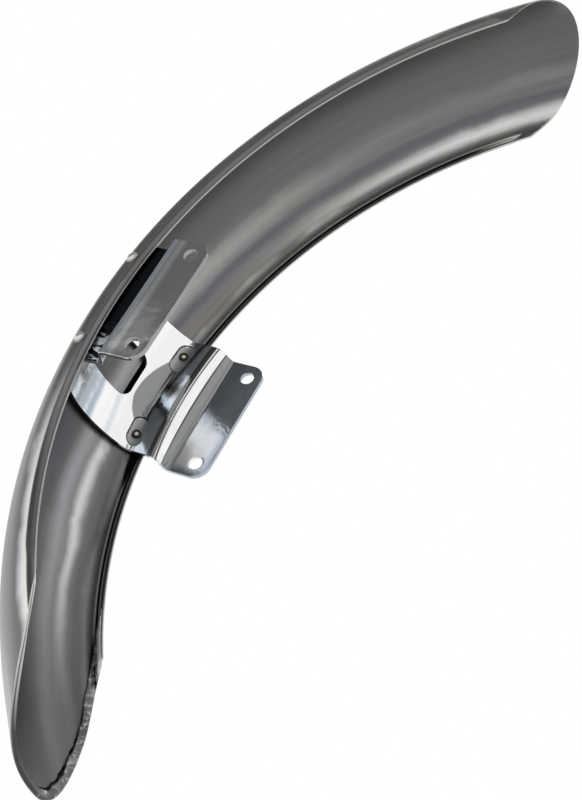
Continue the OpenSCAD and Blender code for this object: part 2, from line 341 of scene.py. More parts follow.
def corner_run(a, cut, q):
    """Distance up the cut at which a corner of radius q, resting on the edge's circle, ends."""
    p, u, n, _ = cut
    return -p @ u + np.sqrt((p @ u) ** 2 - 2 * q * (p @ n - a.lip_r))


def end_angle(a, cut, q, r, e):
    """Angle about the axle at which a circle of radius r meets the cut, moved e into the metal,
    or its round corner where r lies below the corner's end."""
    p, u, n, end = cut
    w = p + e[..., None] * n
    wu = w @ u
    s = -wu + np.sqrt(np.maximum(wu**2 - (w**2).sum(-1) + r**2, 0))
    hit = w + s[..., None] * u
    straight = np.arctan2(hit[..., 0], hit[..., 1])
    run = corner_run(a, cut, q)
    c = p + run * u + q * n
    far = np.hypot(*c)
    cosine = (far**2 + r**2 - (q - e) ** 2) / (2 * far * r)
    round_ = np.arctan2(*c) + end * np.arccos(np.clip(cosine, -1, 1))
    low = r < np.hypot(*(p + run * u))
    return np.where(low, round_, straight)


def sway(a, end, y, r):
    """How far a cut's edge moves into the metal from its straight line: the front bows forwards,
    and the rear leans to one side, most of all a third of the way up."""
    k = np.clip((r - a.lip_r) / a.crown_h, 0, 1)
    if end > 0:
        return -a.front_bow * np.sin(np.pi * k)
    return a.rear_skew * np.sin(np.pi * k**0.6) * np.clip(y / (0.7 * a.half_w), -1, 1)


def to_frame(a, y, r, turn):
    """A point from its Y, its radius and its angle about the axle."""
    x, z = a.axle_x + r * np.sin(turn), r * np.cos(turn) - a.bolt_line_r
    return np.stack([x, y, z], axis=-1)


# -------------------------------------------------------------------- meshes


def added(name, data):
    """A new object in the scene."""
    obj = bpy.data.objects.new(name, data)
    bpy.context.scene.collection.objects.link(obj)
    return obj


def make_object(name, verts, faces, material, marks):
    """A smooth-shaded object, from points, faces and a mark of each point for the material."""
    mesh = bpy.data.meshes.new(name)
    mesh.from_pydata(verts.tolist(), [], [tuple(f) for f in faces])
    mesh.validate()
    outwards(mesh)
    for key, values in marks.items():
        data = mesh.attributes.new(key, "FLOAT", "POINT")
        data.data.foreach_set("value", np.asarray(values, dtype=np.float32))
    mesh.polygons.foreach_set("use_smooth", np.ones(len(mesh.polygons), dtype=bool))
    mesh.materials.append(material)
    mesh.update()
    return added(name, mesh)


def outwards(mesh):
    """Turns a closed mesh inside out where its volume comes out negative."""
    mesh.calc_loop_triangles()
    tri = np.empty(len(mesh.loop_triangles) * 3, dtype=np.int64)
    mesh.loop_triangles.foreach_get("vertices", tri)
    co = np.empty(len(mesh.vertices) * 3)
    mesh.vertices.foreach_get("co", co)
    p = co.reshape(-1, 3)[tri.reshape(-1, 3)]
    if np.einsum("ij,ij->i", p[:, 0], np.cross(p[:, 1], p[:, 2])).sum() < 0:
        mesh.flip_normals()


def loop_faces(rows, ring, first=0):
    """Quads of rows of closed rings, and strips that close the first and the last ring."""
    j, i = np.meshgrid(np.arange(rows - 1), np.arange(ring), indexing="ij")
    k = (i + 1) % ring
    sides = np.stack([j * ring + i, j * ring + k, (j + 1) * ring + k, (j + 1) * ring + i], -1)
    m = np.arange(ring // 2 - 1)
    cap = np.stack([m, ring - 1 - m, ring - 2 - m, m + 1], -1)
    last = cap[:, ::-1] + (rows - 1) * ring
    return np.concatenate([sides.reshape(-1, 4), cap, last]) + first


def turned_faces(m, n, first):
    """Quads between m rings of n points, and fans to the two poles that come after them."""
    j, k = np.meshgrid(np.arange(m - 1), np.arange(n), indexing="ij")
    after = (k + 1) % n
    p = first + j * n
    quads = np.stack([p + k, p + after, p + n + after, p + n + k], -1).reshape(-1, 4)
    k, after = k[0], after[0]
    last, top, low = first + (m - 1) * n, 0 * k + first + m * n, 0 * k + first + m * n + 1
    fans = np.stack([top, first + after, first + k, low, last + k, last + after], -1)
    return quads.tolist() + fans.reshape(-1, 3).tolist()


def spread(values, like):
    """A row, a column or a whole grid of values, as one for each point of the grid."""
    return np.broadcast_to(values, like.shape).ravel()


# ----------------------------------------------------------------- the shell


def shell_path(a):
    """Middle line of the shell's section from one lip to the other: a lip, a half-round bead
    between two fillets, a shoulder arc and half the crown arc, mirrored about the crown."""
    t = a.sheet_t / 2
    wall = a.half_w - t
    crown_arc, crown_c, shoulder_y, shoulder_c = arch_numbers(a)
    bead_c = a.lip_r + a.lip_h + a.bead_r
    mid, f = a.bead_r - t, a.fillet_r
    k = np.sqrt((mid + f) ** 2 - f**2)
    lean = np.degrees(np.arctan2(k, f))
    rise = np.degrees(a.crown_a)
    pts, nrm, run = joined(
        line((wall, a.lip_r), (wall, bead_c - k), 4),
        arc((wall + f, bead_c - k), f, 180, 180 - lean, 5),
        arc((wall, bead_c), mid, -lean, lean, 12),
        arc((wall + f, bead_c + k), f, lean - 180, -180, 5),
        line((wall, bead_c + k), (wall, shoulder_c), 1),
        arc((shoulder_y, shoulder_c), a.shoulder_r - t, 0, 90 - rise, 12),
        arc((0, crown_c), crown_arc - t, 90 - rise, 90, 20),
    )
    flip = np.array([-1, 1])
    pts = np.concatenate([pts, pts[-2::-1] * flip])
    nrm = np.concatenate([nrm, nrm[-2::-1] * flip])
    across = np.concatenate([run[-1] - run, (run - run[-1])[-2::-1]])
    return pts, nrm, across


def below_bead(a, r):
    """Whether a place on the section lies on the lip, the bead or the bead's fillets."""
    return r < a.lip_r + a.lip_h + 2 * a.bead_r + a.fillet_r


def lip_round(a, across):
    """Half thickness of the sheet at each point of the section, drawn in at the two lips."""
    reach = np.abs(across).max() - np.abs(across)
    k = 1 - np.clip(reach / LIP_ROUND, 0, 1)
    return a.sheet_t / 2 * (1 - LIP_THIN * (1 - np.sqrt(1 - k**2)))


def edge_stations(b, t, n=4):
    """A rounded edge from the face to the middle of the sheet: insets and depths."""
    p = np.linspace(0, np.pi / 2, n)
    insets = np.concatenate([b * (1 - np.sin(p)), [0.0]])
    depths = np.concatenate([b * (1 - np.cos(p)), [t / 2 * MID_DEPTH]])
    return insets, depths


def shell_points(a, pts, nrm, half, v, e_rear, e_front, d):
    """The sheet's points. Each station is a share v of the way from the rear to the front cut,
    with insets from both and a depth below the outer face; the bead flattens near the ends.
    The cuts are found on the outer face, so that the ends are square to the sheet."""
    rear, front = cut_of(a, -1), cut_of(a, 1)
    wall = a.half_w - a.sheet_t / 2
    low = below_bead(a, pts[:, 1])[:, None]
    side = np.sign(pts[:, 0])[:, None]
    offset = (1 - 2 * d / a.sheet_t)[None, :] * half[:, None]
    y, r = pts[:, 0][:, None], pts[:, 1][:, None]
    ny, nr = nrm[:, 0][:, None], nrm[:, 1][:, None]
    back = -(a.rear_tip_a - a.rear_rake_a) + BEAD_START / a.lip_r
    ahead = (a.front_tip_a - a.front_rake_a) - BEAD_START / a.lip_r
    fade = a.bead_fade / a.lip_r
    keep = 1.0
    for _ in range(2):  # the second pass has the bead flattened by the first one's places
        my = np.where(low, side * wall + keep * (y - side * wall), y)
        ty, tr = np.where(low, side + keep * (ny - side), ny), np.where(low, keep * nr, nr)
        size = np.hypot(ty, tr)
        fy, fr = my + offset * ty / size, r + offset * tr / size
        face = r + a.sheet_t / 2 * tr / size
        a0 = end_angle(a, rear, a.rear_corner_r, face, e_rear + sway(a, -1, my, face))
        a1 = end_angle(a, front, a.front_corner_r, face, e_front + sway(a, 1, my, face))
        turn = a0 + (a1 - a0) * v
        keep = smooth(turn, back, back + REAR_FADE * fade) * smooth(-turn, -ahead, fade - ahead)
    out = flare(a, y, r, (turn - a0) * a.lip_r)
    return fy + out * ty / size, fr + out * tr / size, turn


def flare(a, y, r, run):
    """How far the sheet springs outwards on the near side of its rear end and at its tip, less
    and less with the run from the cut."""
    rise = (r - a.lip_r) / MM
    side = smooth(-y, 0.0, 30 * MM) * smooth(rise, 8, 25)
    tip = smooth(rise, 20, 33)
    return (a.flare_side * side + a.flare_tip * tip) * np.exp(-np.maximum(run, 0) / a.flare_run)


def hem_weight(a, r):
    """1 where the rear end carries its hem, 0 at the round corners."""
    cut = cut_of(a, -1)
    p, u, _, _ = cut
    start = np.hypot(*(p + corner_run(a, cut, a.rear_corner_r) * u))
    return smooth(r, start - 0.5 * MM, start + 2.5 * MM)


def hem_scale(a, nrm, r):
    """How fast the distance from the cut's plane grows along the sheet, square to its edge: 1 on
    the sides, less over the crown, where the cut is slanted."""
    cut = cut_of(a, -1)
    n = cut[2]
    turn = end_angle(a, cut, a.rear_corner_r, r, np.zeros_like(r))
    facing = nrm[:, 1] * (n[0] * np.sin(turn) + n[1] * np.cos(turn))
    return np.sqrt(1 - facing**2)


def build_shell(a):
    """Verts, faces and marks of the shell: the beaded sheet, then the fold of the rear hem. Each
    point of the section has a closed ring of stations, along the outer face from the rear cut to
    the front one, and back along the inner face."""
    pts, nrm, across = shell_path(a)
    half = lip_round(a, across)
    t = a.sheet_t
    inset, depth = edge_stations(CUT_ROUND, t)
    v = np.linspace(0, 1, a.rows)
    v = (v - ROW_EASE * np.sin(2 * np.pi * v))[1:-1]
    plain, n = np.full(len(v), inset[0]), len(inset)
    way = np.concatenate([np.zeros(n), v, np.ones(n)])
    in_rear = np.concatenate([inset[::-1], plain, np.full(n, inset[0])])
    in_front = np.concatenate([np.full(n, inset[0]), plain, inset])
    deep = np.concatenate([depth[::-1], 0 * v, depth])
    way, in_rear, in_front = (np.concatenate([x, x[::-1]]) for x in (way, in_rear, in_front))
    deep = np.concatenate([deep, t - deep[::-1]])
    fold = (t + a.hem_gap) / 2
    hem = hem_weight(a, pts[:, 1])[:, None]
    lean = hem_scale(a, nrm, pts[:, 1])[:, None]
    in_rear = in_rear * (1 - hem) + fold * lean * hem
    y, r, turn = shell_points(a, pts, nrm, half, way, in_rear, in_front, deep)
    verts = to_frame(a, y, r, turn).reshape(-1, 3)
    p, _, square, _ = cut_of(a, -1)
    end = (at_angle(r, turn) - p) @ square / lean
    marks = {
        "across": spread(across[:, None], y),
        "along": (turn * a.lip_r).ravel(),
        "inner": spread(deep / t, y),
        "hem": np.zeros(y.size),
        "end": np.clip(end, 0, END_REACH).ravel(),
    }
    more, more_faces, more_marks = build_hem(a, pts, nrm, across, fold, len(verts))
    faces = np.concatenate([loop_faces(len(pts), len(deep)), more_faces])
    marks = {k: np.concatenate([marks[k], more_marks[k]]) for k in marks}
    return np.concatenate([verts, more]), faces, marks


def build_hem(a, pts, nrm, across, fold, first):
    """The hem: the sheet's line bends round half a circle at the rear cut and comes back under
    the shell, with wrinkles that grow towards its free edge. It passes the bead's place flat."""
    t = a.sheet_t
    rows = hem_weight(a, pts[:, 1]) > 0.5
    pts, nrm, across = pts[rows], nrm[rows], across[rows]
    low = below_bead(a, pts[:, 1])
    side = np.sign(pts[:, 0])
    pts = np.stack([np.where(low, side * (a.half_w - t / 2), pts[:, 0]), pts[:, 1]], 1)
    nrm = np.where(low[:, None], np.stack([side, 0 * side], 1), nrm)
    axis = t / 2 + fold
    bend, to_axis = arc((fold, axis), fold, -90, -270, 10)
    free, _ = line((fold, axis + fold), (a.hem_w, axis + fold), 6)
    mid = np.concatenate([bend, free[1:]])
    out = np.concatenate([-to_axis, np.tile([0.0, 1.0], (6, 1))])
    half = np.full((len(mid), 1), t / 2)
    half[-1] *= HEM_THIN
    loop = np.concatenate([mid + out * half, (mid - out * half)[::-1]])
    run = np.linspace(0, 1, len(mid))
    reach = np.concatenate([run, run[::-1]])
    grow = smooth(reach, 0.45, 1.0)  # the wrinkles start where the bend has come back under
    far = smooth(across, -0.02, 0.03)  # they are deeper and the hem wider on the far side
    wave = 0.5 + 0.5 * ripple(across / MM, 3, 0.55, 5)
    deep = a.hem_wave * (0.35 + 0.65 * far) * wave
    wide = 0.25 * ripple(across / MM, 7, 0.4, 4) * (0.4 + 0.6 * far) + 0.18 * far
    lean = hem_scale(a, nrm, pts[:, 1])[:, None]
    e = loop[:, 0] * lean * (1 + wide[:, None] * grow)
    d = loop[:, 1] + deep[:, None] * grow
    lift = t / 2 - d + flare(a, pts[:, 0], pts[:, 1], np.zeros(len(pts)))[:, None]
    y = pts[:, 0][:, None] + nrm[:, 0][:, None] * lift
    r = pts[:, 1][:, None] + nrm[:, 1][:, None] * lift
    face = (pts[:, 1] + t / 2 * nrm[:, 1])[:, None]
    e = e + sway(a, -1, pts[:, 0][:, None], face)
    turn = end_angle(a, cut_of(a, -1), a.rear_corner_r, face, e)
    marks = {
        "across": spread(across[:, None], y),
        "along": (turn * a.lip_r).ravel(),
        "inner": spread(smooth(reach, 0.1, 0.3), y),
        "hem": np.ones(y.size),
        "end": spread(loop[:, 0], y),
    }
    verts = to_frame(a, y, r, turn).reshape(-1, 3)
    return verts, loop_faces(len(pts), len(loop), first), marks


# --------------------------------------------------------------- the bracket


def saddle_path(a, b):
    """Middle line of the saddle from the crown down to the first bend, to the +Y side, with
    normals outwards: half the crown's arc, the shoulder's, and the wall."""
    crown_arc, crown_c, shoulder_y, shoulder_c = arch_numbers(a)
    m = b.plate_in + b.plate_t / 2
    rise = np.degrees(a.crown_a)
    pts, nrm, run = joined(
        arc((0, crown_c), crown_arc - m, 90, 90 - rise, 200),
        arc((shoulder_y, shoulder_c), a.shoulder_r - m, 90 - rise, 0, 60),
        line((a.half_w - m, shoulder_c), (a.half_w - m, b.joggle_top_r), 60),
    )
    return pts, -nrm, run


def joggle_place(a, b, x, q, o):
    """Place in Y and Z of a point at share q down the joggle, at X x and offset o outwards.
    Two bends of equal turn with a straight between step out from the wall to the flange, and
    the first starts on a circle about the axle."""
    wall = a.half_w - b.plate_in - b.plate_t / 2
    out = b.half_fork_w - b.plate_t / 2
    top = np.sqrt(b.joggle_top_r**2 - (x - a.axle_x) ** 2) - a.bolt_line_r
    drop = top - b.flange_h
    step = out - wall - 2 * b.joggle_r
    run = np.sqrt(drop**2 + step**2 - (2 * b.joggle_r) ** 2)
    turn = np.arctan2(step, drop) + np.arctan2(2 * b.joggle_r, run)
    k1 = turn * np.clip(q / BEND_SHARE, 0, 1)
    k3 = turn * np.clip((1 - q) / BEND_SHARE, 0, 1)
    y1 = wall + b.joggle_r - (b.joggle_r - o) * np.cos(k1)
    z1 = top - (b.joggle_r - o) * np.sin(k1)
    y3 = out - b.joggle_r + (b.joggle_r + o) * np.cos(k3)
    z3 = b.flange_h + (b.joggle_r + o) * np.sin(k3)
    m = np.clip((q - BEND_SHARE) / (1 - 2 * BEND_SHARE), 0, 1)
    return y1 + (y3 - y1) * m, z1 + (z3 - z1) * m


def pad_press(a, b, rv, x, t, t_rivet):
    """How far the plate is pressed out at (x, t): all of it inside an oval, none outside."""
    r = a.lip_r + rv.rise
    turn = np.arcsin((x - a.axle_x) / r)
    total = np.zeros_like(x)
    for i, s in CORNERS:
        centre = np.arcsin((i * rv.half_pitch - a.axle_x) / r) - i * b.pad_shift / r
        beyond = np.maximum(np.abs((turn - centre) * r) - (b.pad_l - b.pad_w) / 2, 0)
        over = np.hypot(beyond, t - s * t_rivet) - b.pad_w / 2
        total += 1 - smooth(over, -0.25 * b.pad_wall, 0.75 * b.pad_wall)
    return total * (b.plate_in - b.pad_in)


def plate_surface(a, b, rv):
    """A function from (x, t, offset) to a point of the bracket. t is the length from the crown
    over the saddle, down the joggle and down the flange; the offset is outwards."""
    pts, nrm, run = saddle_path(a, b)
    saddle, shoulder_c = run[-1], arch_numbers(a)[3]
    bend = rivet_lean(a, rv) * (a.shoulder_r - b.plate_in - b.plate_t / 2)
    t_rivet = saddle - (shoulder_c - b.joggle_top_r) - bend

    def place(x, t, o):
        side, u = np.where(t < 0, -1.0, 1.0), np.abs(t)
        press = pad_press(a, b, rv, x, t, t_rivet)
        y, r = (np.interp(u, run, pts[:, i]) for i in (0, 1))
        ny, nr = (np.interp(u, run, nrm[:, i]) for i in (0, 1))
        k = (o + press) / np.hypot(ny, nr)
        y, r = y + k * ny, r + k * nr
        z = np.sqrt(r**2 - (x - a.axle_x) ** 2) - a.bolt_line_r
        q = np.clip((u - saddle) / JOGGLE_RUN, 0, 1)
        jy, jz = joggle_place(a, b, x, q, o)
        y, z = np.where(u > saddle, jy, y), np.where(u > saddle, jz, z)
        flat = u > saddle + JOGGLE_RUN
        y = np.where(flat, b.half_fork_w - b.plate_t / 2 + o, y)
        z = np.where(flat, b.flange_h - (u - saddle - JOGGLE_RUN), z)
        return np.stack([x, side * y, z], axis=-1)

    return place, saddle, t_rivet


def stops(*marks, step):
    """Grid lines through all the marks, at most one step apart."""
    out = [np.array([marks[0]])]
    for p, q in zip(marks[:-1], marks[1:]):
        n = max(1, int(np.ceil((q - p) / step - 1e-6)))
        out.append(np.linspace(p, q, n + 1)[1:])
    return np.concatenate(out)


def plate_plan(a, b, saddle):
    """The bracket laid flat: points (x, t) and quads. A grid, with a ring of quads round the
    window and round each bolt hole, and the flange's corners rounded about the bolts."""
    xw, tw = b.half_window_l + WINDOW_RING[0], b.half_window_w + WINDOW_RING[1]
    xb, t0 = b.half_pitch - b.margin, saddle + JOGGLE_RUN
    tb0, tb1 = t0 + b.flange_h - b.margin, t0 + b.flange_h + b.margin
    low = saddle - BEND_ZONE
    xs = np.concatenate([
        stops(0.0, PAD_ZONE, step=COARSE), stops(PAD_ZONE, xw, xb, b.half_l, step=FINE)[1:],
    ])
    ts = np.concatenate([
        stops(0.0, tw, step=COARSE), stops(tw, low, step=FINE)[1:],
        stops(low, saddle, t0, tb0, tb1, step=MIDDLING)[1:],
    ])
    xs, ts = (np.concatenate([-v[:0:-1], v]) for v in (xs, ts))
    gx, gt = np.meshgrid(xs, ts, indexing="ij")
    nt = len(ts)
    cx, ct = (xs[:-1] + xs[1:]) / 2, (ts[:-1] + ts[1:]) / 2
    mx, mt = np.meshgrid(cx, ct, indexing="ij")
    window = (np.abs(mx) < xw) & (np.abs(mt) < tw)
    bolts = (np.abs(mx) > xb) & (np.abs(mt) > tb0)
    i, j = np.where(~(window | bolts))
    quads = [np.stack([i * nt + j, (i + 1) * nt + j, (i + 1) * nt + j + 1, i * nt + j + 1], -1)]
    points = [np.stack([gx.ravel(), gt.ravel()], -1)]
    r_mid = arch_numbers(a)[0] - b.plate_in - b.plate_t / 2

    def ring(x0, x1, y0, y1, inner, outer, n):
        """n rings of quads from a rectangle of the grid in to a hole. outer moves the rectangle's
        points where the plate's own outline runs, and inner takes them to the hole's."""
        ix = np.where((xs > x0 - TINY) & (xs < x1 + TINY))[0]
        it = np.where((ts > y0 - TINY) & (ts < y1 + TINY))[0]
        loop = (
            [(k, it[0]) for k in ix[:-1]] + [(ix[-1], k) for k in it[:-1]]
            + [(k, it[-1]) for k in ix[:0:-1]] + [(ix[0], k) for k in it[:0:-1]]
        )
        at = np.array(loop)
        edge = np.stack([xs[at[:, 0]], ts[at[:, 1]]], -1)
        hole, rim = inner(edge), outer(edge)
        first = sum(len(p) for p in points)
        keep = np.linalg.norm(rim - edge, axis=1) < TINY
        grid = at[:, 0] * nt + at[:, 1]
        m = len(edge)
        levels = [np.where(keep, grid, first + np.arange(m))]
        points.append(rim)
        for k in range(1, n + 1):
            points.append(rim + (hole - rim) * (k / n))
            levels.append(first + k * m + np.arange(m))
        for p, q in zip(levels[:-1], levels[1:]):
            quads.append(np.stack([p, np.roll(p, -1), np.roll(q, -1), q], -1))

    def onto(edge, c, radius):
        """Points moved straight from a centre onto a circle about it."""
        d = edge - c
        return c + d / np.maximum(np.linalg.norm(d, axis=1, keepdims=True), TINY) * radius

    def window_hole(edge):
        """Onto the window's rounded outline in plan, turned into length over the crown."""
        p = edge / [xw, tw] * [b.half_window_l, b.half_window_w]
        core = np.array([b.half_window_l, b.half_window_w]) - b.window_r
        corner = (np.abs(p) > core).all(axis=1)
        p = np.where(corner[:, None], onto(p, np.sign(p) * core, b.window_r), p)
        return np.stack([p[:, 0], r_mid * np.arcsin(p[:, 1] / r_mid)], -1)

    ring(-xw, xw, -tw, tw, window_hole, lambda edge: edge, WINDOW_STEPS)
    for i, s in CORNERS:
        c = np.array([i * b.half_pitch, s * (t0 + b.flange_h)])

        def hole(edge):
            return onto(edge, c, b.bolt_r)

        def outline(edge):
            out = ((edge - c) * [i, s] > TINY).all(axis=1)
            return np.where(out[:, None], onto(edge, c, b.margin), edge)

        span = (*sorted((i * xb, i * b.half_l)), *sorted((s * tb0, s * tb1)))
        ring(*span, hole, outline, BOLT_STEPS)
    points, quads = np.concatenate(points), np.concatenate(quads)
    used, back = np.unique(quads, return_inverse=True)
    return points[used], back.reshape(quads.shape)


def thick_plate(plan, quads, place, t, b):
    """A plate of thickness t on a surface: both faces, and edges rounded by b along every
    outline, found as the quads' sides that belong to one quad only. Returns its points and
    faces, where each point lies in the plan, and 0, 1 or 0.5 for top, underside or edge."""
    n = len(plan)
    area = np.cross(plan[quads[:, 1]] - plan[quads[:, 0]], plan[quads[:, 2]] - plan[quads[:, 0]])
    quads = np.where((area < 0)[:, None], quads[:, ::-1], quads)
    sides = np.stack([quads, np.roll(quads, -1, axis=1)], -1).reshape(-1, 2)
    key = sides[:, 0] * n + sides[:, 1]
    twin = sides[:, 1] * n + sides[:, 0]
    rim = sides[~np.isin(key, twin)]
    inward = np.zeros((n, 2))
    d = plan[rim[:, 1]] - plan[rim[:, 0]]
    d = np.stack([-d[:, 1], d[:, 0]], -1) / np.linalg.norm(d, axis=1, keepdims=True)
    np.add.at(inward, rim[:, 0], d)
    np.add.at(inward, rim[:, 1], d)
    size = np.linalg.norm(inward, axis=1, keepdims=True)
    inward = inward / np.maximum(size, TINY)
    edge = np.where(size[:, 0] > 0)[0]
    index = np.full(n, -1)
    index[edge] = np.arange(len(edge))
    face = plan + inward * b
    verts = [place(face[:, 0], face[:, 1], np.full(n, o)) for o in (t / 2, -t / 2)]
    kinds = [np.zeros(n), np.ones(n)]
    turns = np.linspace(0, np.pi / 2, 4)[1:]
    steps = [(b * (1 - np.sin(p)), t / 2 - b * (1 - np.cos(p))) for p in turns]
    steps += [(i, -o) for i, o in steps[::-1]]
    levels = [edge]
    for k, (inset, offset) in enumerate(steps):
        p = plan[edge] + inward[edge] * inset
        verts.append(place(p[:, 0], p[:, 1], np.full(len(edge), offset)))
        kinds.append(np.full(len(edge), 0.5))
        levels.append(2 * n + k * len(edge) + np.arange(len(edge)))
    levels.append(n + edge)
    faces = [quads, quads[:, ::-1] + n]
    p, q = index[rim[:, 0]], index[rim[:, 1]]
    for upper, under in zip(levels[:-1], levels[1:]):
        faces.append(np.stack([upper[q], upper[p], under[p], under[q]], -1))
    flat = np.concatenate([face, face] + [plan[edge]] * len(steps))
    return np.concatenate(verts), np.concatenate(faces), flat, np.concatenate(kinds)


def build_bracket(a, b, rv):
    """Verts, faces and marks of the bracket."""
    place, saddle, t_rivet = plate_surface(a, b, rv)
    plan, quads = plate_plan(a, b, saddle)
    verts, faces, flat, kind = thick_plate(plan, quads, place, b.plate_t, b.edge_r)
    x, t = flat.T
    press = pad_press(a, b, rv, x, np.abs(t), t_rivet) / (b.plate_in - b.pad_in)
    return verts, faces, {"across": t, "along": x, "inner": kind, "press": press}


# ---------------------------------------------------------------- the rivets


def rivet_profiles(b, rv):
    """Outlines of a rivet as (radius, height) with the part of each point: the head outside the
    shell, a slice of a sphere on a short skirt, and inside the bracket the rolled tail, whose
    steps are shares of its radii and height, with its hollow and the broken pin."""
    h, r = rv.head_h, rv.head_r
    dome_r = (r**2 + h**2) / (2 * h)
    fall = np.arcsin(r * 0.96 / dome_r) * np.linspace(0, 1, 12)
    head = np.stack([dome_r * np.sin(fall), h - dome_r * (1 - np.cos(fall))], -1)
    skirt = np.array([[r, 0.06 * MM], [r, -0.2 * MM], [0.985 * r, -0.75 * MM], [0, -0.75 * MM]])
    head = np.concatenate([head, skirt])
    base = b.pad_in + b.plate_t
    tr, th, hr, pr, end = rv.tail_r, rv.tail_h, rv.hollow_r, rv.pin_r, rv.pin_drop
    low = 0.35 * th
    pin = [(0, th - end), (0.75 * pr, th - end), (pr, th - 1.4 * end), (1.02 * pr, low + 0.1 * MM)]
    hollow = [(1.1 * pr, low), (0.94 * hr, low + 0.02 * MM)]
    rim = [
        (hr, low + 0.15 * MM), (1.01 * hr, 0.72 * th), (1.08 * hr, 0.90 * th),
        (1.25 * hr, 0.985 * th), (0.5 * (hr + tr), th), (0.88 * tr, 0.96 * th),
        (0.96 * tr, 0.84 * th), (tr, 0.64 * th), (0.995 * tr, 0.40 * th), (0.955 * tr, 0.22 * th),
        (0.93 * tr, 0.05 * th), (0.93 * tr, -0.3 * MM), (0, -0.3 * MM),
    ]
    tail = np.array([(x, -base - y) for x, y in pin + hollow + rim])
    parts = np.repeat([2.0, 1.4, 1.0], [len(pin), len(hollow), len(rim)])
    return (head, np.zeros(len(head))), (tail, parts)


def build_rivets(a, b, rv):
    """Verts, faces and marks of the four rivets: each outline turned about the axis that stands
    square on the shell's shoulder, with a slightly uneven rolled rim."""
    shoulder_y = arch_numbers(a)[2]
    r0, lean = a.lip_r + rv.rise, rivet_lean(a, rv)
    face_y = shoulder_y + a.shoulder_r * np.cos(lean)
    n, turn = rv.sides, np.linspace(0, 2 * np.pi, rv.sides, endpoint=False)
    verts, faces, part, radius = [], [], [], []
    first = 0
    for i, s in CORNERS:
        about = np.arcsin((i * rv.half_pitch - a.axle_x) / r0)
        up = np.array([np.sin(about), 0, np.cos(about)])
        axis = np.cos(lean) * np.array([0, s, 0]) + np.sin(lean) * up
        u = np.array([np.cos(about), 0, -np.sin(about)])
        w = np.cross(axis, u)
        seat = to_frame(a, np.array(s * face_y), np.array(r0), np.array(about))
        for outline, kinds in rivet_profiles(b, rv):
            rad, high, kind = outline[1:-1, 0], outline[1:-1, 1], kinds[1:-1]
            uneven = 1 + RIM_UNEVEN * np.cos(turn * 3 + i + 2 * s) * (kind == 1)[:, None]
            x, y = (rad[:, None] * uneven * wave(turn) for wave in (np.cos, np.sin))
            ring = seat + high[:, None, None] * axis + x[..., None] * u + y[..., None] * w
            verts += [ring.reshape(-1, 3), seat + outline[[0, -1], 1][:, None] * axis]
            faces += turned_faces(len(rad), n, first)
            part += [np.repeat(kind, n), kinds[[0, -1]]]
            radius += [np.repeat(rad, n), np.zeros(2)]
            first += len(rad) * n + 2
    marks = {"part": np.concatenate(part), "radius": np.concatenate(radius)}
    return np.concatenate(verts), faces, marks


# ------------------------------------------------------------------- shading


def sum_of(operation, reflected=False):
    """One of a Value's operators, as a Math node; a reflected one has the Value on its right."""

    def apply(value, other):
        return value.graph.math(operation, *((other, value) if reflected else (value, other)))

    return apply


class Value:
    """A shader number or colour that takes part in sums written with plain operators."""

    def __init__(self, graph, socket):
        self.graph, self.socket = graph, socket

    __add__, __radd__ = sum_of("ADD"), sum_of("ADD", True)
    __sub__, __rsub__ = sum_of("SUBTRACT"), sum_of("SUBTRACT", True)
    __mul__, __rmul__ = sum_of("MULTIPLY"), sum_of("MULTIPLY", True)

    def __abs__(self):
        return self.graph.math("ABSOLUTE", self)


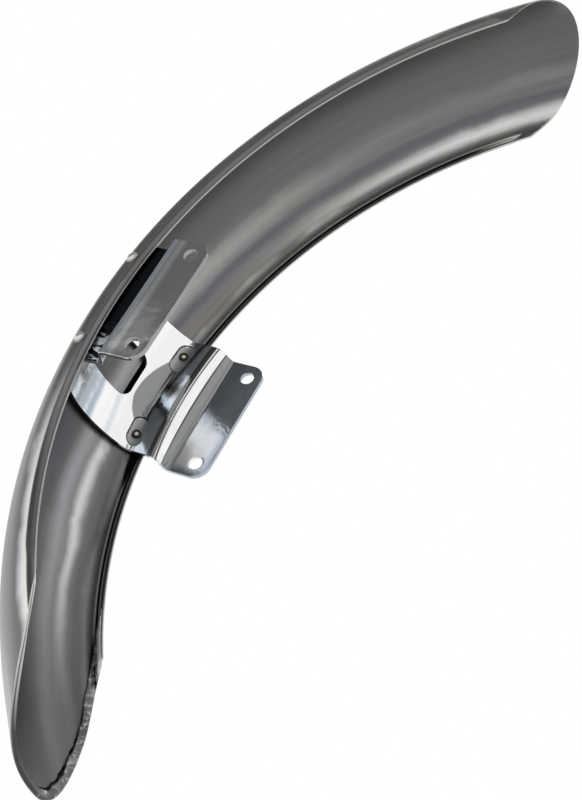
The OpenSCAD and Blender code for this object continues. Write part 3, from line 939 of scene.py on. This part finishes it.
class Graph:
    """Builds the nodes of a material or of the world."""

    def __init__(self, owner):
        owner.use_nodes = True
        self.owner, self.tree = owner, owner.node_tree
        self.tree.nodes.clear()

    def node(self, kind, ins=None, out=0, **settings):
        """Any node: its settings, its inputs by name or number, and one output as a Value."""
        n = self.tree.nodes.new(kind)
        for key, value in settings.items():
            setattr(n, key, value)
        for key, value in (ins or {}).items():
            if isinstance(value, Value):
                self.tree.links.new(value.socket, n.inputs[key])
            else:
                n.inputs[key].default_value = value
        return Value(self, n.outputs[out]) if len(n.outputs) else None

    def math(self, operation, *values):
        """A sum on numbers."""
        return self.node("ShaderNodeMath", dict(enumerate(values)), operation=operation)

    def mark(self, name):
        """A mark of the mesh."""
        return self.node("ShaderNodeAttribute", out="Fac", attribute_name=name)

    def step(self, value, a, b, low=0.0, high=1.0):
        """A smooth step of the value: low up to a and high from b on, in either direction."""
        ins = {0: value, 1: a, 2: b, 3: low, 4: high}
        return self.node("ShaderNodeMapRange", ins, interpolation_type="SMOOTHSTEP")

    def between(self, value, a, b, c, d):
        """A smooth step up from a to b, times one down from c to d."""
        return self.step(value, a, b) * self.step(value, d, c)

    def bump_of(self, value, centre, width):
        """1 at the centre and 0 beyond the width, smooth in between."""
        return self.step(abs(value - centre), width, 0.0)

    def bands(self, rows, across, along=None, stray=None):
        """The sum of bands that run lengthwise. A row gives a band's centre, half width and
        amount, how far it strays sideways, and smooth steps along the sheet that limit it."""
        total = 0.0
        for centre, width, amount, far, *limits in rows:
            band = self.bump_of(across + stray * far if far else across, centre, width)
            for a, b in limits:
                band = band * self.step(along, a, b)
            total = band * amount + total
        return total

    def vector(self, x, y, z):
        """Three numbers as a vector."""
        return self.node("ShaderNodeCombineXYZ", {0: x, 1: y, 2: z})

    def noise(self, at, scale, detail=3.0, roughness=0.55, distortion=0.0):
        """A smooth noise between 0 and 1."""
        ins = {"Vector": at, "Scale": scale, "Detail": detail, "Roughness": roughness}
        return self.node("ShaderNodeTexNoise", {**ins, "Distortion": distortion})

    def mix(self, factor, a, b, blend="MIX"):
        """A mix of two colours."""
        ins = {0: factor, 6: a, 7: b}
        return self.node("ShaderNodeMix", ins, out=2, data_type="RGBA", blend_type=blend)

    def paint(self, base, *layers):
        """Layers of colour over a base, each a factor and its colour."""
        for factor, tint in layers:
            base = self.mix(factor, base, rgba(tint))
        return base

    def tint(self, factor, base, tint):
        """A colour multiplied by a tint."""
        return self.mix(factor, base, rgba(tint), blend="MULTIPLY")

    def scaled(self, base, tone):
        """A colour times a number."""
        return self.node("ShaderNodeVectorMath", {0: base, "Scale": tone}, operation="SCALE")

    def bump(self, height, strength, distance, normal=None):
        """The normal of a height in the material, on top of another normal."""
        ins = {"Strength": strength, "Distance": distance, "Height": height}
        return self.node("ShaderNodeBump", {**ins, **({"Normal": normal} if normal else {})})

    def metal(self, tone, rough, normal, metallic=1.0):
        """The metal shader, joined to the output. Returns the material."""
        ins = {"Base Color": tone, "Metallic": metallic, "Roughness": rough, "Normal": normal}
        return self.finish(self.node("ShaderNodeBsdfPrincipled", ins))

    def finish(self, shader, kind="ShaderNodeOutputMaterial"):
        """Joins a shader to the output, and returns what it belongs to."""
        self.node(kind, {"Surface": shader})
        return self.owner


def new_material(name):
    """A graph for a new material."""
    return Graph(bpy.data.materials.new(name))


def rgba(c):
    """A colour with full alpha."""
    return (c[0], c[1], c[2], 1.0)


# Painted highlight and shade bands of the steel, for Graph.bands: centre and half width across,
# amount, stray, and steps along.
AHEAD = (0.0, 0.01)
BEHIND = (0.01, 0.0)
# Painted highlights: bands lighter than the steel
STEEL_PAINTED_HIGHLIGHT = (
    (0.0505, 0.0085, 1.000, 0.006, (0.08, 0.29)),  # far shoulder ahead
    (0.0572, 0.0030, 0.450, 0.004, AHEAD),  # over the far bead
    (0.0400, 0.0060, 0.900, 0.012, BEHIND, (-0.235, -0.10)),  # far shoulder behind
    (0.0285, 0.0100, 0.066, 0.012),  # far half of the crown
    (0.0285, 0.0100, 0.220, 0.012, (0.20, 0.05), (-0.26, -0.08)),  # the same, mid length
    (0.0660, 0.0020, 0.500, 0.0),  # lower half of the far bead
)
# Painted shade: bands darker than the steel
STEEL_PAINTED_SHADE = (
    (0.0400, 0.0060, 0.45, 0.006, AHEAD),  # above the bright far shoulder
    (0.0320, 0.0110, 0.40, 0.006, (0.13, 0.25)),  # towards the front tip
    (-0.0220, 0.0260, 0.40, 0.0, (-0.15, -0.225)),  # near half of the rear end
)
# Painted highlight on the near skirt's outer face
STEEL_SKIRT_HIGHLIGHT = (
    (-0.0535, 0.0060, 0.90, 0.010, (0.08, 0.30)),  # near skirt ahead, outside
)
# Painted shade in the grooves beside the near bead and on the bead itself
STEEL_BEAD_SHADE = (
    (-0.0620, 0.0016, 1.3, 0.0, (-0.08, -0.02)),  # groove over the near bead
    (-0.0667, 0.0009, 1.0, 0.0),  # groove under it
    (-0.0646, 0.0022, 0.7, 0.0, AHEAD),  # the bead's own shade
)
# Tints of the painted shade that multiply the steel: a cool one and a blue one
COOL, SHADE_TINT = (0.95, 0.99, 1.10), (0.90, 0.97, 1.12)  # tints that multiply the steel


def steel_material(f):
    """Bare rolled steel: painted highlight and painted shade bands and a fine grain along the
    length, small scratches, brown heat by the rivets, painted shadow in the grooves, the gaps and
    the hem's fold, and painted light and shade on the hem and the lips."""
    g = new_material("bare steel")
    across, along, inner = g.mark("across"), g.mark("along"), g.mark("inner")
    hem, end = g.mark("hem"), g.mark("end")
    size = abs(across)
    x = g.node("ShaderNodeSeparateXYZ", {0: g.node("ShaderNodeTexCoord", out="Object")}, out="X")
    flat = g.vector(along, across, inner * 0.02)
    drawn = g.vector(along * 0.035, across, inner * 0.02)
    grain, streak = g.noise(drawn, 2600.0, 4.0, 0.6), g.noise(drawn, 420.0, 3.0, 0.5, 0.2)
    cloud, speck = g.noise(flat, 22.0, 3.0, 0.55, 0.4), g.noise(flat, 900.0, 2.0, 0.6)
    blotch = g.noise(flat, 130.0, 4.0, 0.6)
    stray = cloud - 0.5
    wander = across + stray * 0.010
    inside, sheet = g.step(inner, 0.4, 0.6), 1.0 - hem
    outside = 1.0 - inside
    ahead, behind = g.step(along, *AHEAD), g.step(along, *BEHIND)

    # Painted highlight and painted shade bands inside
    # Painted highlight between the far shoulder and the far bead, and at the far front end
    edge = g.step(wander, 0.0520, 0.0560) * g.step(across, 0.0612, 0.0605)
    painted_highlight = g.bands(STEEL_PAINTED_HIGHLIGHT, across, along, stray)
    painted_highlight = painted_highlight + edge * (g.step(along, -0.18, -0.06) * 0.22 + ahead * 0.6)
    painted_highlight = painted_highlight + g.step(along, 0.272, 0.295) * g.step(across, 0.0560, 0.0580) * 0.6
    # Painted shade over the crown's middle and near half, above the far shoulder, towards the front
    # tip and on the rear end
    painted_shade = g.bands(STEEL_PAINTED_SHADE, across, along, stray)
    painted_shade = painted_shade + g.step(wander, 0.030, 0.014) * g.step(across, -0.045, -0.015) * 0.5
    painted_shade = painted_shade + g.step(along, -0.14, -0.27) * 0.40
    painted_shade = painted_shade + behind * g.step(wander, 0.044, 0.050) * (1.0 - edge) * 0.35

    # The near skirt and its bead, seen from outside: painted highlights on the skirt, painted shade
    # on and beside the bead
    skirt = g.step(wander, -0.0545, -0.0600) * g.step(across, -0.0632, -0.0620)
    # Painted highlight: the brightest strip of the near skirt, on its rear
    bright = g.step(along, -0.04, -0.14) * skirt
    skirt_highlight = g.bands(STEEL_SKIRT_HIGHLIGHT, across, along, stray) + bright
    # Painted shade on and beside the near bead, seen from outside
    bead = g.bands(STEEL_BEAD_SHADE, across, along)
    # Painted highlights in light and bright steel, painted shade in dark steel; the whole outside
    # is also a little darker
    tone = g.paint(
        rgba(f.steel),
        (painted_highlight * inside + skirt_highlight * outside, f.steel_light),
        (painted_shade * inside + outside * (0.04 + bead * 0.6), f.steel_dark),
        (bright * outside * 0.8, f.steel_bright),
    )
    # Painted shade tints: cooler on the rear half where the painted highlights are weak, bluer in
    # the band above the far shoulder
    cool = g.step(along, 0.02, -0.08) * 0.6 * g.step(painted_highlight + bright * outside, 1.0, 0.3)
    shade_tint = g.bump_of(across, 0.0400, 0.0080) * ahead * inside * 0.7
    tone = g.tint(shade_tint, g.tint(cool, tone, COOL), SHADE_TINT)
    rolled = (streak - 0.5) * 0.30 + (grain - 0.5) * (f.grain * 0.52) + stray * 0.20
    tone = g.scaled(tone, 1.0 + rolled)

    # Heat stains by the rivets, then painted shadow in the gaps: at the bracket's end, over the far
    # bead, under the hem, in the hem's far corner, and along the bracket's window
    heat = g.step(blotch, 0.52, 0.66) * g.bump_of(x, -0.052, 0.020) * g.step(size, 0.030, 0.052)
    heat = heat + g.bump_of(x, 0.060, 0.05) * g.step(blotch, 0.60, 0.75) * 0.3
    # Painted shadow on the shell along the bracket's rear end
    gap = g.bump_of(x, -0.0437, 0.0008) * 1.4 * g.step(size, 0.0612, 0.0600)
    # Painted shade in the inner grooves of the beads
    groove = g.bump_of(size, 0.0622, 0.0015) * 1.8 * g.between(along, -0.215, -0.205, 0.255, 0.280)
    # Painted shadow under the hem and in its far corner
    under_hem = g.bump_of(end + (blotch - 0.5) * 0.004, 0.0054, 0.0012) * sheet * 1.5
    under_hem = under_hem * g.step(across, -0.012, 0.012) * g.step(along, -0.14, -0.16)
    pocket = g.bump_of(end, 0.005, 0.006) * g.bump_of(across, 0.0600, 0.0045) * sheet * 1.5
    # Painted shadow on the shell along the window's far edge
    through = g.between(across, 0.0345, 0.0352, 0.0370, 0.0390) * g.step(abs(x), 0.0200, 0.0160)
    gap_shade = g.step((gap + groove + under_hem + pocket + through) * inside, 0.0, 1.0)

    # Painted light and shade on the hem's folded nose, pale flecks and rucks, painted light on the
    # lips, painted shade on the near half of the hem and by the near bead, and a painted highlight
    # on the lips' edge
    # Painted light on the hem's nose, with painted shade on its fold
    nose = g.step(end, 0.0016, 0.0008) * hem * g.step(across, -0.026, -0.040)
    fold_in = g.bump_of(inner, 0.5, 0.46)
    fleck = g.step(g.noise(flat, 420.0, 2.0, 0.5), 0.58, 0.70) * hem * g.step(across, -0.01, 0.01)
    ruck = g.step(g.noise(g.vector(along, across * 0.3, 0.0), 300.0, 3.0, 0.6), 0.45, 0.75)
    ruck = ruck * hem * inside * g.step(across, -0.01, 0.02)
    # Painted light on the inner lips at both ends
    lit = g.step(size, 0.0640, 0.0652) * inside
    lit = lit * (g.step(along, -0.05, -0.10) + g.step(along, 0.25, 0.29))
    # Painted light on the lips and the nose, with pale flecks and rucks
    pale = lit * 0.65 + fleck * 0.6 + nose * (1.0 - fold_in) * 0.8 + ruck * 0.5
    # Painted shade on the near half of the hem and along the near bead's rear
    lip = g.bump_of(across, -0.024, 0.036) * hem * 1.2 + nose * fold_in * 0.6
    rear_bead_shade = g.step(along, -0.06, -0.16) * g.bump_of(across, -0.0640, 0.0034) * sheet * 1.2
    # Painted highlight along the lips' edge
    rim = g.step(size, 0.0676, 0.0684) * 0.8
    scratch_at = g.vector(along * 0.3 + across * 0.5, across * 1.0 - along * 0.2, inner)
    scratch = g.step(g.noise(scratch_at, 700.0, 1.0, 0.4), 0.72, 0.78)
    # Heat stains, painted shadow, painted light with the flecks and rucks, painted shade, the lips'
    # painted highlight, and scratches
    tone = g.paint(
        tone,
        (heat * inside * 0.75, f.heat),
        (gap_shade, f.gap_shade_colour),
        (pale, f.steel_light),
        (lip + rear_bead_shade, f.steel_dark),
        (rim * 0.5, f.steel_light),
        (scratch * 0.06, f.steel_light),
    )
    rough = 0.36 + (grain - 0.5) * (f.grain * 0.36) + stray * 0.16 + gap_shade * 0.3
    height = grain * 0.6 + speck * 0.25 + scratch * 0.4 + hem * blotch * 3.0
    normal = g.bump(height, 0.12, 0.00012, g.bump(cloud, 0.10, 0.004))
    return g.metal(tone, rough + rim * 0.05 + hem * 0.05, normal)


# Painted reflection bands of the plating, for Graph.bands: centre and half width across, amount and
# stray.
PLATE_BLUE = (
    (0.0125, 0.0055, 0.85, 0.0), (0.0290, 0.0045, 0.40, 0.0), (-0.0040, 0.0030, 0.50, 0.0),
    (-0.0190, 0.0055, 0.65, 0.0), (-0.0380, 0.0045, 0.55, 0.0),
)
# Painted dark reflections of the joggle's bends
PLATE_CREASES = (  # dark lines that the joggle's bends reflect
    (0.0666, 0.0005, 0.7, 0.0), (0.0684, 0.0004, 0.5, 0.0), (0.0703, 0.0007, 0.9, 0.0),
    (0.0757, 0.0008, 0.9, 0.0), (0.0806, 0.0005, 0.5, 0.0), (0.0846, 0.0007, 0.8, 0.0),
)
# Tint that goes with the painted grey reflections
PLATE_COOL = (0.70, 0.85, 1.05)  # tint that multiplies the plating's greys
RIVET_X = 0.0315  # the pads' place along X


def plate_material(f):
    """Bright zinc plate: nearly smooth, with painted blue grey reflections in bands along the
    length, painted grey and dark reflections of its own bends, painted shade at its edges and pads'
    ends, duller pads, and painted darker reflections on the flanges."""
    g = new_material("bright zinc plate")
    across, along, inner, press = (g.mark(m) for m in ("across", "along", "inner", "press"))
    size = abs(across)
    flat = g.vector(along, across, inner * 0.01)
    cloud, fine = g.noise(flat, 38.0, 3.0, 0.5, 0.6), g.noise(flat, 1500.0, 3.0, 0.6)
    drawn = g.noise(g.vector(along * 0.12, across, inner * 0.01), 260.0, 3.0, 0.5)
    inside, far = g.step(inner, 0.4, 0.6), g.step(across, -0.001, 0.001)
    outside, near = 1.0 - inside, 1.0 - far
    bend = (cloud - 0.5) * 0.010

    # Painted reflections: blue grey bands over the saddle, the grey half oval and wall on its far
    # side, and a dark streak
    # Painted blue grey reflections in bands over the saddle
    blue = g.bands(PLATE_BLUE, across + bend * 0.5 + along * 0.10) + (cloud - 0.5) * 0.5
    lead = along + 0.007
    bow = lead * lead * (9.0 + g.step(lead, 0.0, -0.004) * 18.0)
    slate = g.step(across - bow + bend * 0.15, 0.0375, 0.0385) * g.step(abs(lead), 0.036, 0.030)
    slate = slate + g.step(across - bend * 0.2, 0.0520, 0.0580)
    wall = g.step(across - bend * 0.15, 0.0545, 0.0565) * g.step(across, 0.0665, 0.0645)
    wall = wall * (1.0 - g.bump_of(along, 0.0060, 0.0100))
    slate = g.step(slate, 0.0, 1.0) * g.step(across, 0.0700, 0.0690) * (0.72 - wall * 0.62)
    # Painted dark streak on the far side
    streak = g.bump_of(across - along * 0.15 + bend * 0.4, 0.0545, 0.0035) * far
    streak = streak * g.step(along, -0.004, 0.006)

    # Painted reflections on the joggle and the flanges with a painted highlight on the far flange,
    # the pads, and painted shade at the pads' ends
    # Painted grey reflection in the joggle's fold
    fold = g.between(size, 0.0752, 0.0762, 0.0835, 0.0850) * 0.72
    # Painted highlight: a pale patch on the far flange
    flange_highlight = g.step(along + bend, 0.004, -0.020) * g.step(along, -0.044, -0.036)
    flange_highlight = flange_highlight * g.step(size, 0.1090, 0.0980)
    # Painted grey reflections on the flanges, lighter at the painted highlight and the near facet
    plain = g.step(size, 0.0840, 0.0860)
    facet = g.bump_of(size, 0.0885, 0.0040)
    flange = plain * (far * (0.50 - flange_highlight * 0.50) + near * (0.66 - facet * 0.20))
    pad = g.step(press, 0.80, 0.97)
    grey = (slate + fold) * inside * (1.0 - pad) + flange
    # Painted shade at the outer end of each pad
    side = g.step(along, -0.001, 0.001) * 2.0 - 1.0
    ring = g.bump_of(press, 0.45, 0.45)
    ring = ring * g.step(along - side * RIVET_X, -0.004, 0.004, 0.45, 1.2)

    # The near side from outside: painted shade and bright painted reflections under the bead, and a
    # painted reflection on the bevel below them
    under = g.between(size, 0.0540, 0.0570, 0.0722, 0.0738) * outside
    bevel = g.between(size, 0.0722, 0.0738, 0.0840, 0.0860) * outside
    # Bright painted reflections in bits over the painted shade under the bead
    bits = g.noise(g.vector(along * 1.6, across * 0.6, 0.0), 190.0, 2.0, 0.5, 0.4)
    bits = g.step(along, -0.012, -0.040) * g.step(bits, 0.42, 0.52)
    tone = g.paint(
        rgba(f.zinc),
        (g.step(blue, 0.0, 1.0), f.zinc_blue),
        (g.step(grey, 0.0, 1.0), f.zinc_grey),
        (under * bits * 0.7 + bevel * 0.8, f.zinc_blue),
    )
    # Cool tint on the painted grey wall and far flange
    tone = g.tint(wall * inside * 0.5 + plain * far * (1.0 - flange_highlight) * 0.6, tone, PLATE_COOL)
    # Painted shade on the plate's edges round the window and at the saddle's ends, then all the
    # painted dark
    hole = g.bump_of(inner, 0.5, 0.42) * 1.6 * g.step(size, 0.046, 0.042)
    dark = (g.bands(PLATE_CREASES, size) * far + streak * 0.75 + ring) * inside
    dark = dark + under * (1.0 - bits) + hole
    tone = g.paint(tone, (pad * inside * 0.9, f.zinc_pad), (g.step(dark, 0.0, 1.0), f.zinc_dark))
    tone = g.scaled(tone, 1.0 + (drawn - 0.5) * 0.16 + (fine - 0.5) * 0.08)
    rough = 0.11 + (cloud - 0.5) * 0.10 + (fine - 0.5) * 0.06
    rough = rough + pad * 0.35 + under * 0.3 + plain * flange_highlight * 0.14
    normal = g.bump(fine + drawn * 0.5, 0.08, 0.0001, g.bump(cloud, 0.18, 0.003))
    return g.metal(tone, rough, normal)


def rivet_material(f):
    """Plain steel heads with faint marks and a rim darkened by painted shade, brown rolled tails
    and a bright broken pin."""
    g = new_material("rivet steel")
    part, radius = g.mark("part"), g.mark("radius")
    at = g.node("ShaderNodeTexCoord", out="Object")
    spots, fine = g.noise(at, 1400.0, 4.0, 0.6), g.noise(at, 5200.0, 2.0, 0.5)
    rolled, pin = g.bump_of(part, 1.0, 0.5), g.step(part, 1.5, 1.9)
    # Painted shade round each head's rim
    rim = g.step(radius + (spots - 0.5) * 0.002, 0.0024, 0.0042) * g.step(part, 0.5, 0.2)
    tone = g.paint(
        rgba(f.nickel),
        (rolled * (0.75 + spots * 0.5), f.tail),
        (pin, f.pin),
        (rim * 0.8, f.steel_dark),
        (g.step(spots, 0.60, 0.75) * 0.35, f.steel_dark),
    )
    rough = 0.26 + rolled * 0.18 + (spots - 0.5) * 0.2
    return g.metal(tone, rough, g.bump(spots + fine * 0.5, 0.18, 0.00012), 1.0 - pin * 0.7)


# --------------------------------------------------------------------- stage

FLOOR_REACH = 6.0
LAMP_TARGET = (0.03, 0.0, 0.0)
LAMPS = (  # name, place, size, share of the lamp power
    ("lamp_top", (-0.9, 0.6, 1.4), 0.9, 1.2),
    ("lamp_side", (-1.5, -0.5, 0.5), 0.6, 0.7),
    ("lamp_back", (0.9, 1.3, 0.7), 0.6, 0.6),
)
CARD_PLACE, CARD_REACH = (1.22, -0.56, 1.28), 1.1


def build_world(st):
    """A white surround for the camera and for reflections, and a softer level of light on
    everything else."""
    world = bpy.data.worlds.new("studio")
    bpy.context.scene.world = world
    g = Graph(world)
    camera, glossy, through = (
        g.node("ShaderNodeLightPath", out=f"Is {ray} Ray")
        for ray in ("Camera", "Glossy", "Transmission")
    )
    seen = g.math("MAXIMUM", g.math("MAXIMUM", camera, glossy), through)
    level = g.node("ShaderNodeMapRange", {"Value": seen, "To Min": st.fill, "To Max": 1.0})
    white = (1.0, 1.0, 1.0, 1.0)
    light = g.node("ShaderNodeBackground", {"Color": white, "Strength": level})
    g.finish(light, "ShaderNodeOutputWorld")


def stage_sheet(name, centre, right, up, reach, material):
    """A square sheet of the stage: its centre plus or minus the reach along two directions."""
    mesh = bpy.data.meshes.new(name)
    signs = np.array([(-1, -1), (1, -1), (1, 1), (-1, 1)]) * reach
    mesh.from_pydata((np.array(centre) + signs @ [right, up]).tolist(), [], [(0, 1, 2, 3)])
    mesh.materials.append(material)
    sheet = added(name, mesh)
    return sheet


def build_floor(st):
    """A large pale floor below the camera, open when seen from below."""
    g = new_material("pale floor")
    tone = g.noise(g.node("ShaderNodeTexCoord", out="Object"), 1.5, 2.0)
    tone = g.mix(tone, (0.94, 0.94, 0.94, 1.0), (0.96, 0.96, 0.96, 1.0))
    paint = g.node("ShaderNodeBsdfDiffuse", {"Color": tone})
    below = g.node("ShaderNodeNewGeometry", out="Backfacing")
    clear = g.node("ShaderNodeBsdfTransparent")
    material = g.finish(g.node("ShaderNodeMixShader", {0: below, 1: paint, 2: clear}))
    stage_sheet("floor", (0.0, 0.0, st.floor_z), (1, 0, 0), (0, 1, 0), FLOOR_REACH, material)


def facing(back):
    """Level and upward directions square to the one from which a thing is seen."""
    side = np.cross([0, 0, 1], back)
    side /= np.linalg.norm(side)
    return side, np.cross(back, side)


def turn_to(obj, right, up, place):
    """Puts a lamp or the camera at a place, with its X to the right and its Y upwards."""
    m = np.eye(4)
    m[:3] = np.stack([right, up, np.cross(right, up), place], axis=1)
    obj.matrix_world = Matrix(m.tolist())


def build_lamps(st):
    """Three soft lamps: one above, one on the camera's side and a weaker one behind."""
    for name, place, size, strength in LAMPS:
        data = bpy.data.lights.new(name, "AREA")
        data.shape, data.size, data.energy = "SQUARE", size, st.lamp * strength
        back = np.array(place) - LAMP_TARGET
        turn_to(added(name, data), *facing(back / np.linalg.norm(back)), place)


def build_card(st):
    """A grey card beside the lamps, seen only in reflections, that gives the near side its tone."""
    g = new_material("grey card")
    tone = {"Color": (st.card, st.card, st.card, 1.0), "Strength": 1.0}
    material = g.finish(g.node("ShaderNodeEmission", tone))
    side, up = facing(np.array(CARD_PLACE) / np.linalg.norm(CARD_PLACE))
    card = stage_sheet("card", CARD_PLACE, side, up, CARD_REACH, material)
    for ray in ("camera", "diffuse", "transmission", "shadow", "volume_scatter"):
        setattr(card, "visible_" + ray, False)


def build_camera(st):
    """The camera at the photograph's viewing angle."""
    data = bpy.data.cameras.new("camera")
    data.lens, data.sensor_width = st.lens, 36.0
    data.clip_start, data.clip_end = 0.01, 50.0
    right, down = np.array(st.right), np.array(st.down)
    right /= np.linalg.norm(right)
    up = right * (down @ right) - down
    camera = added("camera", data)
    turn_to(camera, right, up / np.linalg.norm(up), st.eye)
    bpy.context.scene.camera = camera


# ----------------------------------------------------------------- operators


def dressed(obj, node):
    """The piece rides on the body and stands for its CAD node, which it hides."""
    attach(obj, BODY)
    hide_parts(node)


class MUDGUARD_OT_shell(bpy.types.Operator):
    """Build the beaded steel shell with its hemmed rear end"""

    bl_idname = "mudguard.shell"
    bl_label = "Build Shell"
    bl_options = {"REGISTER", "UNDO"}

    def execute(self, context):
        s = context.scene
        verts, faces, marks = build_shell(s.mudguard_arch)
        obj = make_object("shell_sheet", verts, faces, steel_material(s.mudguard_finish), marks)
        dressed(obj, "shell")
        return {"FINISHED"}


class MUDGUARD_OT_bracket(bpy.types.Operator):
    """Build the plated bracket with its window, pads, joggles and flanges"""

    bl_idname = "mudguard.bracket"
    bl_label = "Build Bracket"
    bl_options = {"REGISTER", "UNDO"}

    def execute(self, context):
        s = context.scene
        shape = build_bracket(s.mudguard_arch, s.mudguard_bracket, s.mudguard_rivets)
        verts, faces, marks = shape
        obj = make_object("bracket_plate", verts, faces, plate_material(s.mudguard_finish), marks)
        obj.modifiers.new("weighted normals", "WEIGHTED_NORMAL").keep_sharp = True
        dressed(obj, "saddle_bracket")
        return {"FINISHED"}


class MUDGUARD_OT_rivets(bpy.types.Operator):
    """Build the four rivets with their heads and set tails"""

    bl_idname = "mudguard.rivets"
    bl_label = "Build Rivets"
    bl_options = {"REGISTER", "UNDO"}

    def execute(self, context):
        s = context.scene
        shape = build_rivets(s.mudguard_arch, s.mudguard_bracket, s.mudguard_rivets)
        verts, faces, marks = shape
        obj = make_object("rivet_set", verts, faces, rivet_material(s.mudguard_finish), marks)
        dressed(obj, "rivets")
        return {"FINISHED"}


class MUDGUARD_OT_stage(bpy.types.Operator):
    """Build the camera, the lamps, the surround, the floor and the card"""

    bl_idname = "mudguard.stage"
    bl_label = "Build Stage"
    bl_options = {"REGISTER", "UNDO"}

    def execute(self, context):
        st = context.scene.mudguard_stage
        context.scene.view_settings.view_transform = "Standard"
        for build in (build_camera, build_world, build_lamps, build_floor, build_card):
            build(st)
        return {"FINISHED"}


class MUDGUARD_PT_panel(bpy.types.Panel):
    """Sizes and finish of the mudguard, and the buttons that build it"""

    bl_idname = "MUDGUARD_PT_panel"
    bl_label = "Mudguard"
    bl_space_type = "VIEW_3D"
    bl_region_type = "UI"
    bl_category = "Mudguard"

    def draw(self, context):
        for operator in OPERATORS:
            self.layout.operator(operator.bl_idname)
        for key in GROUPS:
            group = getattr(context.scene, key)
            box = self.layout.box()
            box.label(text=key.replace("_", " ").capitalize())
            for name in group.bl_rna.properties.keys():
                if name not in ("rna_type", "name"):
                    box.prop(group, name)


GROUPS = {
    "mudguard_arch": MudguardArch,
    "mudguard_bracket": MudguardBracket,
    "mudguard_rivets": MudguardRivets,
    "mudguard_finish": MudguardFinish,
    "mudguard_stage": MudguardStage,
}
OPERATORS = (MUDGUARD_OT_shell, MUDGUARD_OT_bracket, MUDGUARD_OT_rivets, MUDGUARD_OT_stage)
CLASSES = (*GROUPS.values(), *OPERATORS, MUDGUARD_PT_panel)


def register():
    """Registers the classes, and gives the scene its groups of properties."""
    for kind in CLASSES:
        bpy.utils.register_class(kind)
    for key, group in GROUPS.items():
        setattr(bpy.types.Scene, key, PointerProperty(type=group))


def unregister():
    """Takes away what register added."""
    for key in GROUPS:
        delattr(bpy.types.Scene, key)
    for kind in reversed(CLASSES):
        bpy.utils.unregister_class(kind)


def main():
    """Registers the add-on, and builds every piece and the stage."""
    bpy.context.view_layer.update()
    register()
    bpy.ops.mudguard.shell()
    bpy.ops.mudguard.bracket()
    bpy.ops.mudguard.rivets()
    bpy.ops.mudguard.stage()


if __name__ == "__main__":
    main()
